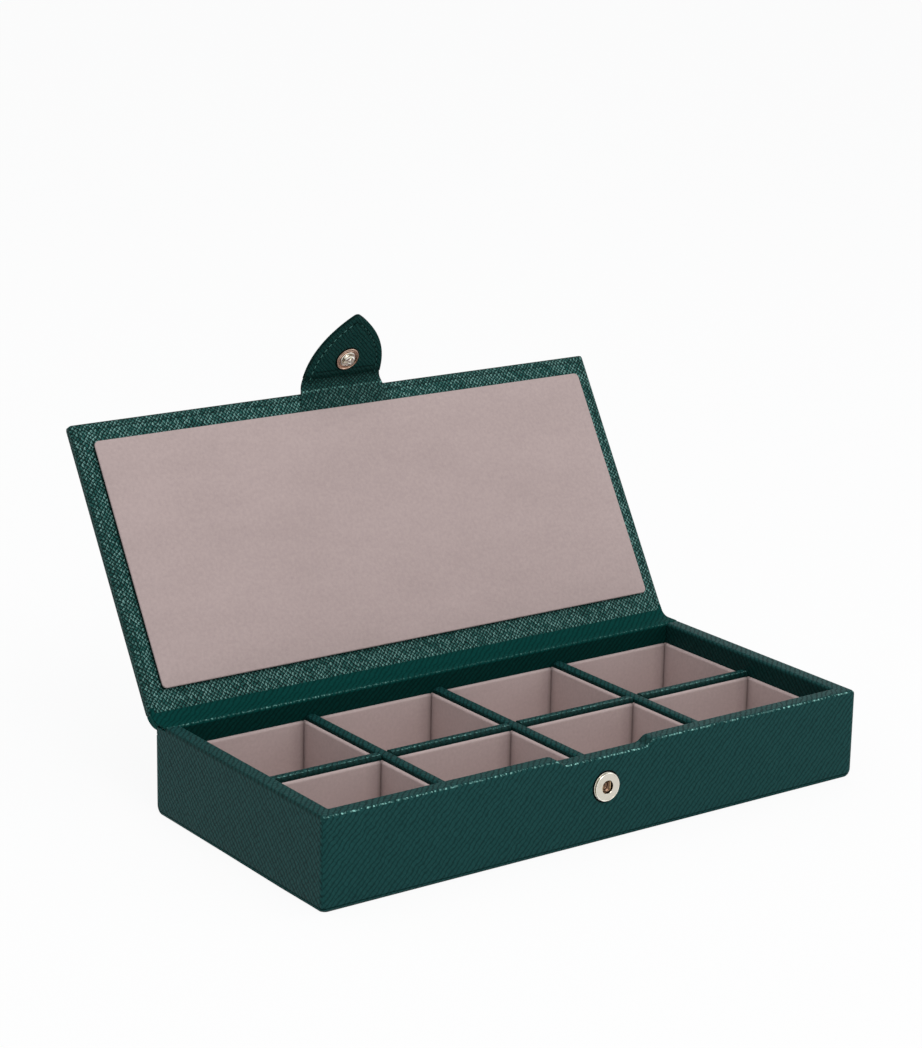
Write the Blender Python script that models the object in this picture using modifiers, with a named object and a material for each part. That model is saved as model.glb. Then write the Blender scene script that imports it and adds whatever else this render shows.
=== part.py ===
"""Leather cufflink box: eight suede-lined compartments, a hinged lid and a press-stud tab.

Metres, +Z up. The origin is the centre of the underside, the front faces -Y and the lid stands open.
"""

from math import atan2, cos, pi, radians, sin, sqrt, tan

import bmesh
import bpy
from mathutils import Matrix, Vector

# Case, outside
case_width = 0.2150
case_depth = 0.0990
case_height = 0.0310
corner_radius = 0.0018
inner_corner_radius = 0.0006
rim_radius = 0.0011

# Sheets and boards
case_leather = 0.0009
wall_board = 0.0035
floor_board = 0.0030
base_panel = 0.0012
turn_in = 0.0150
seat = 0.0003
overrun = 0.0020
weld = 0.000002

# Notch in the front rim that the tab's neck passes through
notch_depth = 0.0021
notch_floor_width = 0.0316
notch_mouth_width = 0.0400

# Dividers and linings
compartment_columns = 4
row_names = ("front", "rear")
divider = 0.0040
divider_drop = 0.0057
divider_cap_radius = 0.0013
lining = 0.0006
lining_drop = 0.0070
lining_corner_radius = 0.0012
floor_pad = 0.0012

# Hinge
lid_open_angle = radians(121.3)
hinge_behind_case = 0.0022
lid_rest_gap = 0.0003
lid_overhang = 0.0007
hinge_strip = 0.0007
hinge_spine = 0.0009
spine_drop = 0.0040
hinge_end_inset = 0.0006

# Lid
lid_length = 0.1006
lid_board = 0.0016
lid_leather = 0.0007
lid_edge_radius = 0.0007
window_margin = 0.0150
pad_side_margin = 0.0063
pad_front_margin = 0.0072
pad_hinge_margin = 0.0076
pad_height = 0.0020
pad_suede = 0.0007
pad_skirt = 0.0008
pad_corner_radius = 0.0026
pad_edge_radius = 0.0010
infill = 0.0007

# Tab
tab_fold_angle = radians(56)
tab_fold_overhang = 0.0030
tab_root_width = 0.0350
tab_width = 0.0316
tab_reach = 0.0273
tab_tip_radius = 0.0022
tab_fullness_share = 2.4
tab_taper_share = 0.96
tab_ply = 0.0007
tab_ply_gap = 0.0003
tab_neck = 0.0009
tab_neck_root = 0.0098
tab_neck_turn = 0.0020
tab_front_clearance = 0.0022

# Press stud: socket on the case, stud on the tab
snap_height = 0.0186
socket_flange_radius = 0.0052
socket_stand = 0.0011
socket_lip = 0.0004
socket_mouth_radius = 0.0022
socket_barrel_radius = 0.0032
socket_barrel_wall = 0.0003
rivet_flange_radius = 0.0046
rivet_flange = 0.0004
rivet_wall = 0.0003
socket_depth = 0.0022
spring_wire_radius = 0.00022
stud_from_fold = 0.00935
stud_flange_radius = 0.0044
stud_flange = 0.0005
stud_step_radius = 0.0027
stud_step = 0.00025
stud_neck_radius = 0.0012
stud_bulb_radius = 0.0017
stud_bulb = 0.0008
stud_height = 0.0026
snap_clearance = 0.0001

# Smoothness
corner_segments = 4
edge_segments = 3
turned_steps = 28

# Sizes that follow
wall = 2 * case_leather + 2 * seat + wall_board
half_width = case_width / 2
half_depth = case_depth / 2
inner_half_width = half_width - wall
inner_half_depth = half_depth - wall
board_inset = case_leather + seat
board_corner_radius = corner_radius - board_inset
shell_base = base_panel + seat
board_top = case_height - board_inset
divider_base = shell_base + floor_board + seat
divider_top = case_height - divider_drop
lining_top = case_height - lining_drop
compartment_rows = len(row_names)
column_width = (2 * inner_half_width - (compartment_columns - 1) * divider) / compartment_columns
row_depth = (2 * inner_half_depth - (compartment_rows - 1) * divider) / compartment_rows
lid_thickness = 2 * lid_leather + 2 * seat + lid_board
lid_setback = hinge_behind_case - lid_overhang
neck_mid = seat + tab_neck / 2
leaf_thickness = 2 * tab_ply + tab_ply_gap
lid_front = lid_setback + lid_length
leaf_start = tab_neck_turn + seat
spring_half_gap = stud_neck_radius + snap_clearance + spring_wire_radius
strip_gap_start = inner_half_depth - seat
spine_gap_start = half_depth - corner_radius * (1 - sin(pi / (2 * corner_segments)))
hinge_point = Vector((0, half_depth + hinge_behind_case, case_height + lid_rest_gap))


def clear_scene():
    for thing in list(bpy.data.objects):
        bpy.data.objects.remove(thing, do_unlink=True)


def new_collection(name):
    collection = bpy.data.collections.new(name)
    bpy.context.scene.collection.children.link(collection)
    return collection


def material(name, color, roughness, metallic=0.0):
    made = bpy.data.materials.new(name)
    made.use_nodes = True
    shader = made.node_tree.nodes["Principled BSDF"]
    shader.inputs["Base Color"].default_value = (*color, 1.0)
    shader.inputs["Roughness"].default_value = roughness
    shader.inputs["Metallic"].default_value = metallic
    return made


clear_scene()
parts = new_collection("cufflink_box")
cutters = new_collection("cutters")

grain_leather = ((0.008, 0.055, 0.048), 0.5)
smooth_leather = ((0.004, 0.048, 0.042), 0.55)
suede = ((0.42, 0.34, 0.31), 0.95)
grey_board = ((0.35, 0.32, 0.28), 0.9)
pale_metal = ((0.80, 0.76, 0.68), 0.25, 1.0)
spring_metal = ((0.62, 0.48, 0.30), 0.3, 1.0)
copper_metal = ((0.66, 0.47, 0.38), 0.3, 1.0)


def place(name, mesh, look, parent=None, location=(0, 0, 0), rotation=(0, 0, 0)):
    thing = bpy.data.objects.new(name, mesh)
    parts.objects.link(thing)
    thing.data.materials.append(material(name, *look))
    thing.location = location
    thing.rotation_euler = rotation
    thing.parent = parent
    return thing


def pivot(name, location, rotation_x=0.0, parent=None):
    empty = bpy.data.objects.new(name, None)
    parts.objects.link(empty)
    empty.location = location
    empty.rotation_euler = (rotation_x, 0, 0)
    empty.parent = parent
    return empty


def block_mesh(name, low, high, corner=0.0, edge=0.0, round_top=True, round_bottom=False):
    """A box between two corners, its upright edges and its top and bottom rims rounded."""
    size = Vector(high) - Vector(low)
    middle = (Vector(high) + Vector(low)) / 2
    bm = bmesh.new()
    bmesh.ops.create_cube(bm, size=1.0)
    bmesh.ops.scale(bm, vec=size, verts=bm.verts)
    bmesh.ops.translate(bm, vec=middle, verts=bm.verts)
    if corner > 0:
        upright = [e for e in bm.edges if abs(e.verts[0].co.z - e.verts[1].co.z) > size.z / 2]
        bevel(bm, upright, corner, corner_segments)
    rims = []
    if edge > 0 and round_top:
        rims += [e for e in bm.edges if all(abs(v.co.z - high[2]) < seat / 10 for v in e.verts)]
    if edge > 0 and round_bottom:
        rims += [e for e in bm.edges if all(abs(v.co.z - low[2]) < seat / 10 for v in e.verts)]
    if rims:
        bevel(bm, rims, edge, edge_segments)
    return mesh_from(bm, name)


def bevel(bm, edges, width, segments):
    bmesh.ops.bevel(
        bm, geom=edges, offset=width, segments=segments, profile=0.5, affect="EDGES", clamp_overlap=True
    )


def mesh_from(bm, name):
    bmesh.ops.recalc_face_normals(bm, faces=bm.faces)
    mesh = bpy.data.meshes.new(name)
    bm.to_mesh(mesh)
    bm.free()
    return mesh


def block(name, low, high, look, parent=None, **rounding):
    return place(name, block_mesh(name, low, high, **rounding), look, parent)


def cutter(name, mesh, parent=None, location=(0, 0, 0), rotation=(0, 0, 0)):
    thing = bpy.data.objects.new(name, mesh)
    cutters.objects.link(thing)
    thing.location = location
    thing.rotation_euler = rotation
    thing.parent = parent
    thing.hide_render = True
    thing.display_type = "WIRE"
    return thing


def box_cutter(name, low, high, parent=None, **rounding):
    return cutter(name, block_mesh(name, low, high, **rounding), parent)


def round_cutter(name, radius, length, location, rotation, parent=None):
    bm = bmesh.new()
    bmesh.ops.create_cone(
        bm, cap_ends=True, segments=turned_steps, radius1=radius, radius2=radius, depth=length
    )
    return cutter(name, mesh_from(bm, name), parent, location, rotation)


def cut(thing, tool, operation="DIFFERENCE"):
    boolean = thing.modifiers.new(tool.name, "BOOLEAN")
    boolean.operation = operation
    boolean.solver = "EXACT"
    boolean.object = tool


def turned(name, profile, look, parent, location, rotation):
    """A profile of (radius, height) points, outer side top to bottom, turned about its own Z."""
    bm = bmesh.new()
    points = [bm.verts.new((radius, 0, height)) for radius, height in profile]
    for first, second in zip(points, points[1:] + points[:1]):
        if first.co.x > 0 or second.co.x > 0:
            bm.edges.new((first, second))
    mesh = bpy.data.meshes.new(name)
    bm.to_mesh(mesh)
    bm.free()
    thing = place(name, mesh, look, parent, location, rotation)
    screw = thing.modifiers.new("turn", "SCREW")
    screw.steps = turned_steps
    screw.render_steps = turned_steps
    screw.use_merge_vertices = True
    screw.merge_threshold = weld
    screw.use_smooth_shade = False
    return thing


def ribbon(name, path, half_width_at, thickness, look, parent=None):
    """A strip of sheet along a (y, z) path, thickened evenly to both sides of it."""
    bm = bmesh.new()
    half = half_width_at(0)
    pair = [bm.verts.new((side * half, *path[0])) for side in (-1, 1)]
    edge = bm.edges.new(pair)
    for index, point in enumerate(path[1:], start=1):
        grown = bmesh.ops.extrude_edge_only(bm, edges=[edge])["geom"]
        edge = next(g for g in grown if isinstance(g, bmesh.types.BMEdge))
        for vert in edge.verts:
            side = 1 if vert.co.x > 0 else -1
            vert.co = (side * half_width_at(index), *point)
    mesh = bpy.data.meshes.new(name)
    bm.to_mesh(mesh)
    bm.free()
    thing = place(name, mesh, look, parent)
    solidify = thing.modifiers.new("thickness", "SOLIDIFY")
    solidify.thickness = thickness
    solidify.offset = 0
    solidify.use_even_offset = True
    return thing


def plate_mesh(name, outline, thickness):
    """A flat outline in its own XY plane, given its thickness along Z and made a mesh."""
    curve = bpy.data.curves.new(name, "CURVE")
    curve.dimensions = "2D"
    curve.fill_mode = "BOTH"
    curve.extrude = thickness / 2
    spline = curve.splines.new("POLY")
    spline.points.add(len(outline) - 1)
    for point, (x, y) in zip(spline.points, outline):
        point.co = (x, y, 0, 1)
    spline.use_cyclic_u = True
    holder = bpy.data.objects.new(name + "_outline", curve)
    cutters.objects.link(holder)
    bpy.context.view_layer.update()
    evaluated = holder.evaluated_get(bpy.context.evaluated_depsgraph_get())
    mesh = bpy.data.meshes.new_from_object(evaluated)
    bpy.data.objects.remove(holder, do_unlink=True)
    bm = bmesh.new()
    bm.from_mesh(mesh)
    bmesh.ops.remove_doubles(bm, verts=bm.verts, dist=weld)
    bmesh.ops.recalc_face_normals(bm, faces=bm.faces)
    bm.to_mesh(mesh)
    bm.free()
    return mesh


def arc(centre, radius, start, end, steps):
    """Points on an arc, both ends included; angles in radians."""
    turns = [start + (end - start) * step / steps for step in range(steps + 1)]
    return [(centre[0] + radius * cos(a), centre[1] + radius * sin(a)) for a in turns]


def notch_dip(x):
    """How far the front rim drops at this x: full over the notch's floor, eased at its ends."""
    floor, mouth = notch_floor_width / 2, notch_mouth_width / 2
    share = min(1.0, max(0.0, (mouth - abs(x)) / (mouth - floor)))
    return notch_depth * share * share * (3 - 2 * share)


def notch_stations():
    """The x places along the front rim where the notch's ends bend."""
    floor, mouth = notch_floor_width / 2, notch_mouth_width / 2
    bends = 4
    ramp = [floor + (mouth - floor) * step / bends for step in range(bends + 1)]
    return [-x for x in reversed(ramp)] + ramp


def rounded_ring(inset):
    """The case's plan outline, moved in by an inset, with points at the notch and the hinge strip."""
    x, y = half_width - inset, half_depth - inset
    radius = max(corner_radius - inset, inner_corner_radius)
    quarter = pi / 2
    ring = [(place_x, -y) for place_x in notch_stations()]
    for index, (sx, sy) in enumerate(((1, -1), (1, 1), (-1, 1), (-1, -1))):
        centre = (sx * (x - radius), sy * (y - radius))
        corner = arc(centre, radius, (index - 1) * quarter, index * quarter, corner_segments)
        if sx > 0 and sy > 0:
            ring.append((x, strip_gap_start))
        ring += corner
        if sx < 0 and sy > 0:
            ring.append((-x, strip_gap_start))
    return ring


def wrapped_shell(name, stations, look):
    """A sheet run round the case through (inset, height, y where its back opens) stations."""
    bm = bmesh.new()
    plan = rounded_ring(0)
    verts = [bm.verts.new((x, y, stations[0][1])) for x, y in rounded_ring(stations[0][0])]
    for inset, height, open_from in stations[1:]:
        raised = [bm.verts.new((x, y, height)) for x, y in rounded_ring(inset)]
        for here in range(len(plan)):
            after = (here + 1) % len(plan)
            if min(plan[here][1], plan[after][1]) < open_from - weld:
                bm.faces.new((verts[here], verts[after], raised[after], raised[here]))
        verts = raised
    bmesh.ops.delete(bm, geom=[v for v in bm.verts if not v.link_faces], context="VERTS")
    for vert in bm.verts:
        if vert.co.y < 0 and vert.co.z > case_height - 2 * rim_radius:
            vert.co.z -= notch_dip(vert.co.x)
    mesh = bpy.data.meshes.new(name)
    bm.to_mesh(mesh)
    bm.free()
    thing = place(name, mesh, look)
    solidify = thing.modifiers.new("thickness", "SOLIDIFY")
    solidify.thickness = case_leather
    solidify.offset = -1
    solidify.use_even_offset = True
    return thing


def build_case_leather():
    """Up the outside, over the rim and down inside; open at the back for the hinge leathers."""
    quarter = pi / 2
    outer = arc((rim_radius, case_height - rim_radius), rim_radius, pi, quarter, edge_segments)
    inner = arc((wall - rim_radius, case_height - rim_radius), rim_radius, quarter, 0, edge_segments)
    turned_over = [(inset, height, strip_gap_start) for inset, height in (*outer[1:], *inner)]
    stations = [
        (0, shell_base, half_depth + overrun),
        (0, case_height - spine_drop, half_depth + overrun),
        (*outer[0], spine_gap_start),
        *turned_over,
        (wall, case_height - turn_in, strip_gap_start),
    ]
    shell = wrapped_shell("case_leather", stations, grain_leather)
    cut(shell, round_cutter(
        "socket_leather_cut", socket_barrel_radius + seat, 2 * (case_leather + overrun),
        (0, -half_depth, snap_height), (pi / 2, 0, 0),
    ))
    return shell


def round_outer_corners(mesh, outer_x, outer_y):
    """Rounds a wall board's two upright edges that the case's corners need."""
    bm = bmesh.new()
    bm.from_mesh(mesh)
    upright = [
        e for e in bm.edges
        if all(abs(v.co.x) > outer_x - weld and abs(v.co.y) > outer_y - weld for v in e.verts)
    ]
    bevel(bm, upright, board_corner_radius, corner_segments)
    bm.to_mesh(mesh)
    bm.free()
    return mesh


def build_boards():
    """Front and back boards run the full width, side boards stand between them."""
    outer_x = half_width - board_inset
    outer_y = half_depth - board_inset
    inner_x = outer_x - wall_board
    inner_y = outer_y - wall_board
    rim = [(x, board_top - notch_dip(x)) for x in reversed(notch_stations())]
    outline = [(-outer_x, shell_base), (outer_x, shell_base), (outer_x, board_top), *rim,
               (-outer_x, board_top)]
    front_mesh = plate_mesh("front_wall_board", outline, wall_board)
    front_mesh.transform(
        Matrix.Translation((0, -outer_y + wall_board / 2, 0)) @ Matrix.Rotation(pi / 2, 4, "X")
    )
    front = place(
        "front_wall_board", round_outer_corners(front_mesh, outer_x, outer_y), grey_board
    )
    back_mesh = block_mesh(
        "back_wall_board", (-outer_x, inner_y, shell_base), (outer_x, outer_y, board_top)
    )
    place("back_wall_board", round_outer_corners(back_mesh, outer_x, outer_y), grey_board)
    recess = rivet_flange + seat + socket_depth
    cut(front, round_cutter(
        "socket_board_recess", rivet_flange_radius + seat, 2 * recess,
        (0, -outer_y, snap_height), (pi / 2, 0, 0),
    ))
    for side, name in ((-1, "left_wall_board"), (1, "right_wall_board")):
        near, far = sorted((side * inner_x, side * outer_x))
        block(
            name, (near, -inner_y + seat, shell_base), (far, inner_y - seat, board_top), grey_board
        )
    block(
        "floor_board",
        (-inner_x + seat, -inner_y + seat, shell_base),
        (inner_x - seat, inner_y - seat, shell_base + floor_board),
        grey_board,
    )
    block(
        "base_panel", (-half_width, -half_depth, 0), (half_width, half_depth, base_panel),
        grain_leather, corner=corner_radius, edge=base_panel / 4, round_top=False, round_bottom=True,
    )


def column_span(column):
    """The clear x range of a compartment column, between leather faces."""
    low = -inner_half_width + column * (column_width + divider)
    return low, low + column_width


def row_span(row):
    low = -inner_half_depth + row * (row_depth + divider)
    return low, low + row_depth


def build_dividers():
    """One long divider slotted from above, cross dividers slotted from below and lapped over it."""
    half = divider / 2
    lap = (divider_base + divider_top) / 2
    slot = half + seat

    def capped(name, low, high, along):
        mesh = block_mesh(name, low, high)
        bm = bmesh.new()
        bm.from_mesh(mesh)
        other = 1 - along
        rims = [
            e for e in bm.edges
            if all(abs(v.co.z - high[2]) < seat / 10 for v in e.verts)
            and abs(e.verts[0].co[other] - e.verts[1].co[other]) < seat / 10
        ]
        bevel(bm, rims, divider_cap_radius, edge_segments)
        bm.to_mesh(mesh)
        bm.free()
        return place(name, mesh, grain_leather)

    long_divider = capped(
        "long_divider",
        (-inner_half_width + seat, -half, divider_base),
        (inner_half_width - seat, half, divider_top), 0,
    )
    for column in range(1, compartment_columns):
        middle = column_span(column)[0] - half
        cut(long_divider, box_cutter(
            f"long_divider_slot_{column}",
            (middle - slot, -half - overrun, lap - seat / 2),
            (middle + slot, half + overrun, divider_top + overrun),
        ))
        cross = capped(
            f"cross_divider_{column}",
            (middle - half, -inner_half_depth + seat, divider_base),
            (middle + half, inner_half_depth - seat, divider_top), 1,
        )
        cut(cross, box_cutter(
            f"cross_divider_slot_{column}",
            (middle - half - overrun, -slot, divider_base - overrun),
            (middle + half + overrun, slot, lap + seat / 2),
        ))


def build_linings():
    """Each compartment has a suede wrap round its walls and a suede pad on its floor."""
    for row, row_name in enumerate(row_names):
        for column in range(compartment_columns):
            (x0, x1), (y0, y1) = column_span(column), row_span(row)
            low = (x0 + seat, y0 + seat, divider_base)
            high = (x1 - seat, y1 - seat, lining_top)
            tag = f"{row_name}_{column + 1}"
            wrap = block(
                f"lining_{tag}", low, high, suede,
                corner=lining_corner_radius, edge=lining / 3,
            )
            cut(wrap, box_cutter(
                f"lining_inside_{tag}",
                (low[0] + lining, low[1] + lining, low[2] - overrun),
                (high[0] - lining, high[1] - lining, high[2] + overrun),
                corner=lining_corner_radius - lining,
            ))
            inside = lining + seat
            block(
                f"floor_pad_{tag}",
                (low[0] + inside, low[1] + inside, divider_base),
                (high[0] - inside, high[1] - inside, divider_base + floor_pad), suede,
                corner=lining_corner_radius - lining, edge=floor_pad / 3,
            )


def build_socket():
    """A flanged ring with a spring groove, the wire spring in it and the cup that clenches it."""
    front = (0, -half_depth, snap_height)
    facing = (pi / 2, 0, 0)
    bead = seat
    back = -(case_leather + seat)
    chamber = socket_barrel_radius - socket_barrel_wall
    chamber_top = socket_stand - socket_lip
    ring = [
        (socket_flange_radius - bead, socket_stand),
        (socket_flange_radius, socket_stand - bead),
        (socket_flange_radius, seat),
        (socket_barrel_radius, seat),
        (socket_barrel_radius, back + seat / 2),
        (chamber, back + seat / 2),
        (chamber, chamber_top),
        (socket_mouth_radius, chamber_top),
        (socket_mouth_radius, socket_stand - bead),
        (socket_mouth_radius + bead, socket_stand - bead / 3),
        (socket_flange_radius - 3 * bead, socket_stand - bead / 3),
        (socket_flange_radius - 2 * bead, socket_stand),
    ]
    turned("socket_ring", ring, pale_metal, None, front, facing)
    tube = chamber - seat
    cup = [
        (tube, -seat),
        (tube, back - seat / 2),
        (rivet_flange_radius, back - seat / 2),
        (rivet_flange_radius, back - seat / 2 - rivet_flange),
        (tube, back - seat / 2 - rivet_flange),
        (tube, -socket_depth - rivet_wall),
        (0, -socket_depth - rivet_wall),
        (0, -socket_depth),
        (tube - rivet_wall, -socket_depth),
        (tube - rivet_wall, -seat),
    ]
    turned("socket_rivet", cup, pale_metal, None, front, facing)
    build_spring(front, facing, (chamber_top - seat) / 2, chamber - snap_clearance)


def build_spring(front, facing, height, room):
    """Two straight wires either side of the mouth, joined by a bend that the chamber holds."""
    bend_steps = 8
    gap = spring_half_gap
    tail = sqrt(room * room - (gap + spring_wire_radius) ** 2)
    turn = arc((0, room - spring_wire_radius - gap), gap, 0, pi, bend_steps)
    points = [(gap, -tail), *turn, (-gap, -tail)]
    curve = bpy.data.curves.new("socket_spring", "CURVE")
    curve.dimensions = "3D"
    curve.bevel_depth = spring_wire_radius
    curve.bevel_resolution = 1
    curve.use_fill_caps = True
    spline = curve.splines.new("POLY")
    spline.points.add(len(points) - 1)
    for point, (x, y) in zip(spline.points, points):
        point.co = (x, y, height, 1)
    place("socket_spring", curve, spring_metal, None, front, facing)


def build_hinge():
    """The inner strip from the back wall over its rim to the lid, and the outer spine."""
    lid_edge = hinge_point + Matrix.Rotation(-lid_open_angle, 3, "X") @ Vector((0, -lid_setback, 0))
    along_lid = Matrix.Rotation(-lid_open_angle, 3, "X") @ Vector((0, -1, 0))
    out_of_lid = Matrix.Rotation(-lid_open_angle, 3, "X") @ Vector((0, 0, 1))
    top = case_height - hinge_strip / 2
    inside = half_depth - wall + hinge_strip / 2
    strip_end = lid_edge + out_of_lid * (lid_leather / 2) - along_lid * seat
    turn = arc((inside + rim_radius, top - rim_radius), rim_radius, pi, pi / 2, edge_segments)
    free = [
        (half_depth - case_leather, top),
        *between((half_depth - case_leather, top), (strip_end.y, strip_end.z), -seat, 4),
    ]
    path = [(inside, case_height - turn_in), *turn, *free]
    reach = half_width - hinge_end_inset
    strip = ribbon("hinge_strip", path, lambda index: reach, hinge_strip, smooth_leather)
    for side, name in ((-1, "left"), (1, "right")):
        near = inner_half_width - seat
        low, high = sorted((side * near, side * (half_width + overrun)))
        cut(strip, box_cutter(
            f"strip_{name}_trim",
            (low, inside - wall, case_height - turn_in - overrun),
            (high, half_depth - case_leather, case_height - hinge_strip - seat / 2),
        ))
    spine_face = half_depth - hinge_spine / 2
    spine_end = lid_edge + out_of_lid * (lid_thickness - lid_leather / 2) - along_lid * seat
    foot = (spine_face, case_height - spine_drop + seat)
    knee = (spine_face, case_height - spine_drop / 2)
    path = [foot, knee, *between(knee, (spine_end.y, spine_end.z), spine_drop / 6, 5)]
    ribbon("hinge_spine", path, lambda index: reach, hinge_spine, grain_leather)


def between(start, end, sag, steps):
    """Points after the start up to the end, hanging below the straight line by the sag."""
    found = []
    for step in range(1, steps + 1):
        share = step / steps
        drop = sag * sin(pi * share)
        found.append((
            start[0] + (end[0] - start[0]) * share,
            start[1] + (end[1] - start[1]) * share - drop,
        ))
    return found


def build_lid():
    """The lid lies closed in its pivot's own frame; the pivot holds it open."""
    lid_pivot = pivot("lid_pivot", hinge_point, -lid_open_angle)
    back, front = -lid_setback, -lid_front
    leather = block(
        "lid_leather", (-half_width, front, 0), (half_width, back, lid_thickness), grain_leather,
        lid_pivot, corner=corner_radius, edge=lid_edge_radius, round_bottom=True,
    )
    hollow = lid_leather
    cut(leather, box_cutter(
        "lid_hollow",
        (-half_width + hollow, front + hollow, hollow), (half_width - hollow, back - hollow,
                                                         lid_thickness - hollow),
        lid_pivot, corner=corner_radius - hollow,
    ))
    cut(leather, box_cutter(
        "lid_window",
        (-half_width + window_margin, front + window_margin, -overrun),
        (half_width - window_margin, back - window_margin, lid_thickness / 2),
        lid_pivot,
    ))
    inset = lid_leather + seat
    block(
        "lid_board",
        (-half_width + inset, front + inset, inset),
        (half_width - inset, back - inset, inset + lid_board), grey_board,
        lid_pivot, corner=corner_radius - inset,
    )
    edge = window_margin + seat
    block(
        "lid_infill",
        (-half_width + edge, front + edge, lid_leather - infill),
        (half_width - edge, back - edge, lid_leather), grey_board, lid_pivot,
    )
    build_lid_pad(lid_pivot, front, back)
    return lid_pivot


def build_lid_pad(lid_pivot, front, back):
    """A card under a suede skin whose skirt hides its edges, both let in for the tab's neck."""
    low = (-half_width + pad_side_margin, front + pad_front_margin)
    high = (half_width - pad_side_margin, back - pad_hinge_margin)
    pocket = box_cutter(
        "neck_pocket",
        (-tab_root_width / 2 - seat, low[1] - overrun, -pad_height / 2 - overrun),
        (tab_root_width / 2 + seat, low[1] + tab_neck_root + seat, overrun),
        lid_pivot,
    )
    pocket.location.z = -(2 * seat + tab_neck) + pad_height / 2 + overrun
    skirt = pad_skirt
    card_depth = pad_height - pad_suede - seat
    skin = block(
        "lid_pad", (*low, -pad_height), (*high, -seat), suede, lid_pivot,
        corner=pad_corner_radius, edge=pad_edge_radius, round_top=False, round_bottom=True,
    )
    cut(skin, box_cutter(
        "pad_card_room",
        (low[0] + skirt, low[1] + skirt, -card_depth - seat),
        (high[0] - skirt, high[1] - skirt, overrun),
        lid_pivot, corner=pad_corner_radius - skirt,
    ))
    inset = skirt + seat
    card = block(
        "pad_card",
        (low[0] + inset, low[1] + inset, -card_depth),
        (high[0] - inset, high[1] - inset, -seat), grey_board,
        lid_pivot, corner=pad_corner_radius - inset,
    )
    for thing in (skin, card):
        cut(thing, pocket)


def leaf_outline():
    """The tab's pointed arch, in its own plane, from the fold to a rounded tip."""
    base = tab_width / 2 - tab_tip_radius
    height = tab_reach - tab_tip_radius
    steps = 22
    shares = [step / steps for step in range(steps + 1)]
    core = [(base * (1 - s ** tab_fullness_share) ** tab_taper_share, s * height) for s in shares]
    side = []
    for here, (x, y) in enumerate(core[:-1]):
        before = core[max(here - 1, 0)]
        after = core[here + 1]
        slope = Vector((after[0] - before[0], after[1] - before[1])).normalized()
        side.append((x + slope.y * tab_tip_radius, y - slope.x * tab_tip_radius))
    last = Vector((core[-1][0] - core[-2][0], core[-1][1] - core[-2][1])).normalized()
    lean = atan2(-last.x, last.y)
    tip = arc((0, height), tab_tip_radius, lean, pi - lean, 2 * edge_segments)
    right = [(x, y) for x, y in side if y > leaf_start]
    right = [(side[0][0], leaf_start), *right]
    left = [(-x, y) for x, y in reversed(right)]
    return right + tip + left


def lid_point(y, z):
    return Vector((0, y, z))


def tab_axis():
    """The point about which the tab's swing carries its stud from the open hold into the socket."""
    open_direction = lid_point(-cos(tab_fold_angle), -sin(tab_fold_angle))
    held = tab_fold() + stud_from_fold * open_direction
    leaf_plane = hinge_behind_case + case_depth + tab_front_clearance + leaf_thickness / 2
    snapped = lid_point(-leaf_plane, -(case_height + lid_rest_gap - snap_height))
    swing = pi / 2 - tab_fold_angle
    step = (snapped - held) / 2
    return held + step + lid_point(-step.z, step.y) / tan(swing / 2)


def tab_fold():
    return lid_point(-(lid_front + tab_fold_overhang), -neck_mid)


def build_tab(lid_pivot):
    """The neck bends past the lid's edge; the two plies and the stud swing as one."""
    axis = tab_axis()
    tab_pivot = pivot("tab_pivot", axis, tab_fold_angle, lid_pivot)
    fold = tab_fold()
    leaf = Matrix.Rotation(-tab_fold_angle, 3, "X") @ (fold - axis)
    build_neck(lid_pivot, fold)

    outline = [(x, -y) for x, y in leaf_outline()]
    offset = (tab_ply + tab_ply_gap) / 2
    for name, height in (("tab_outer_ply", offset), ("tab_inner_ply", -offset)):
        ply = place(
            name, plate_mesh(name, outline, tab_ply), grain_leather, tab_pivot,
            leaf + lid_point(0, height),
        )
        if height < 0:
            cut(ply, round_cutter(
                "stud_hole", stud_neck_radius + seat, 2 * (tab_ply + overrun),
                leaf + lid_point(-stud_from_fold, height), (0, 0, 0), tab_pivot,
            ))
    build_stud(tab_pivot, leaf + lid_point(-stud_from_fold, 0))


def build_neck(lid_pivot, fold):
    """The strap from under the pad to the fold, drawn in from its root's width to the leaf's."""
    turn_steps = 6
    pad_edge = lid_front - pad_front_margin
    start = fold + lid_point(tab_neck_turn, 0)
    end = fold - tab_neck_turn * lid_point(cos(tab_fold_angle), sin(tab_fold_angle))
    shares = [step / turn_steps for step in range(turn_steps + 1)]
    bend = [start * (1 - s) ** 2 + fold * 2 * s * (1 - s) + end * s * s for s in shares]
    path = [(-reach, -neck_mid) for reach in (pad_edge - tab_neck_root, pad_edge, lid_front)]
    path += [(point.y, point.z) for point in bend]

    def half_width_at(index):
        beyond_pad = -path[index][0] - pad_edge
        share = max(0, beyond_pad) / (-end.y - pad_edge)
        return (tab_root_width + (tab_width - tab_root_width) * share) / 2

    ribbon("tab_neck", path, half_width_at, tab_neck, grain_leather, lid_pivot)


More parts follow.
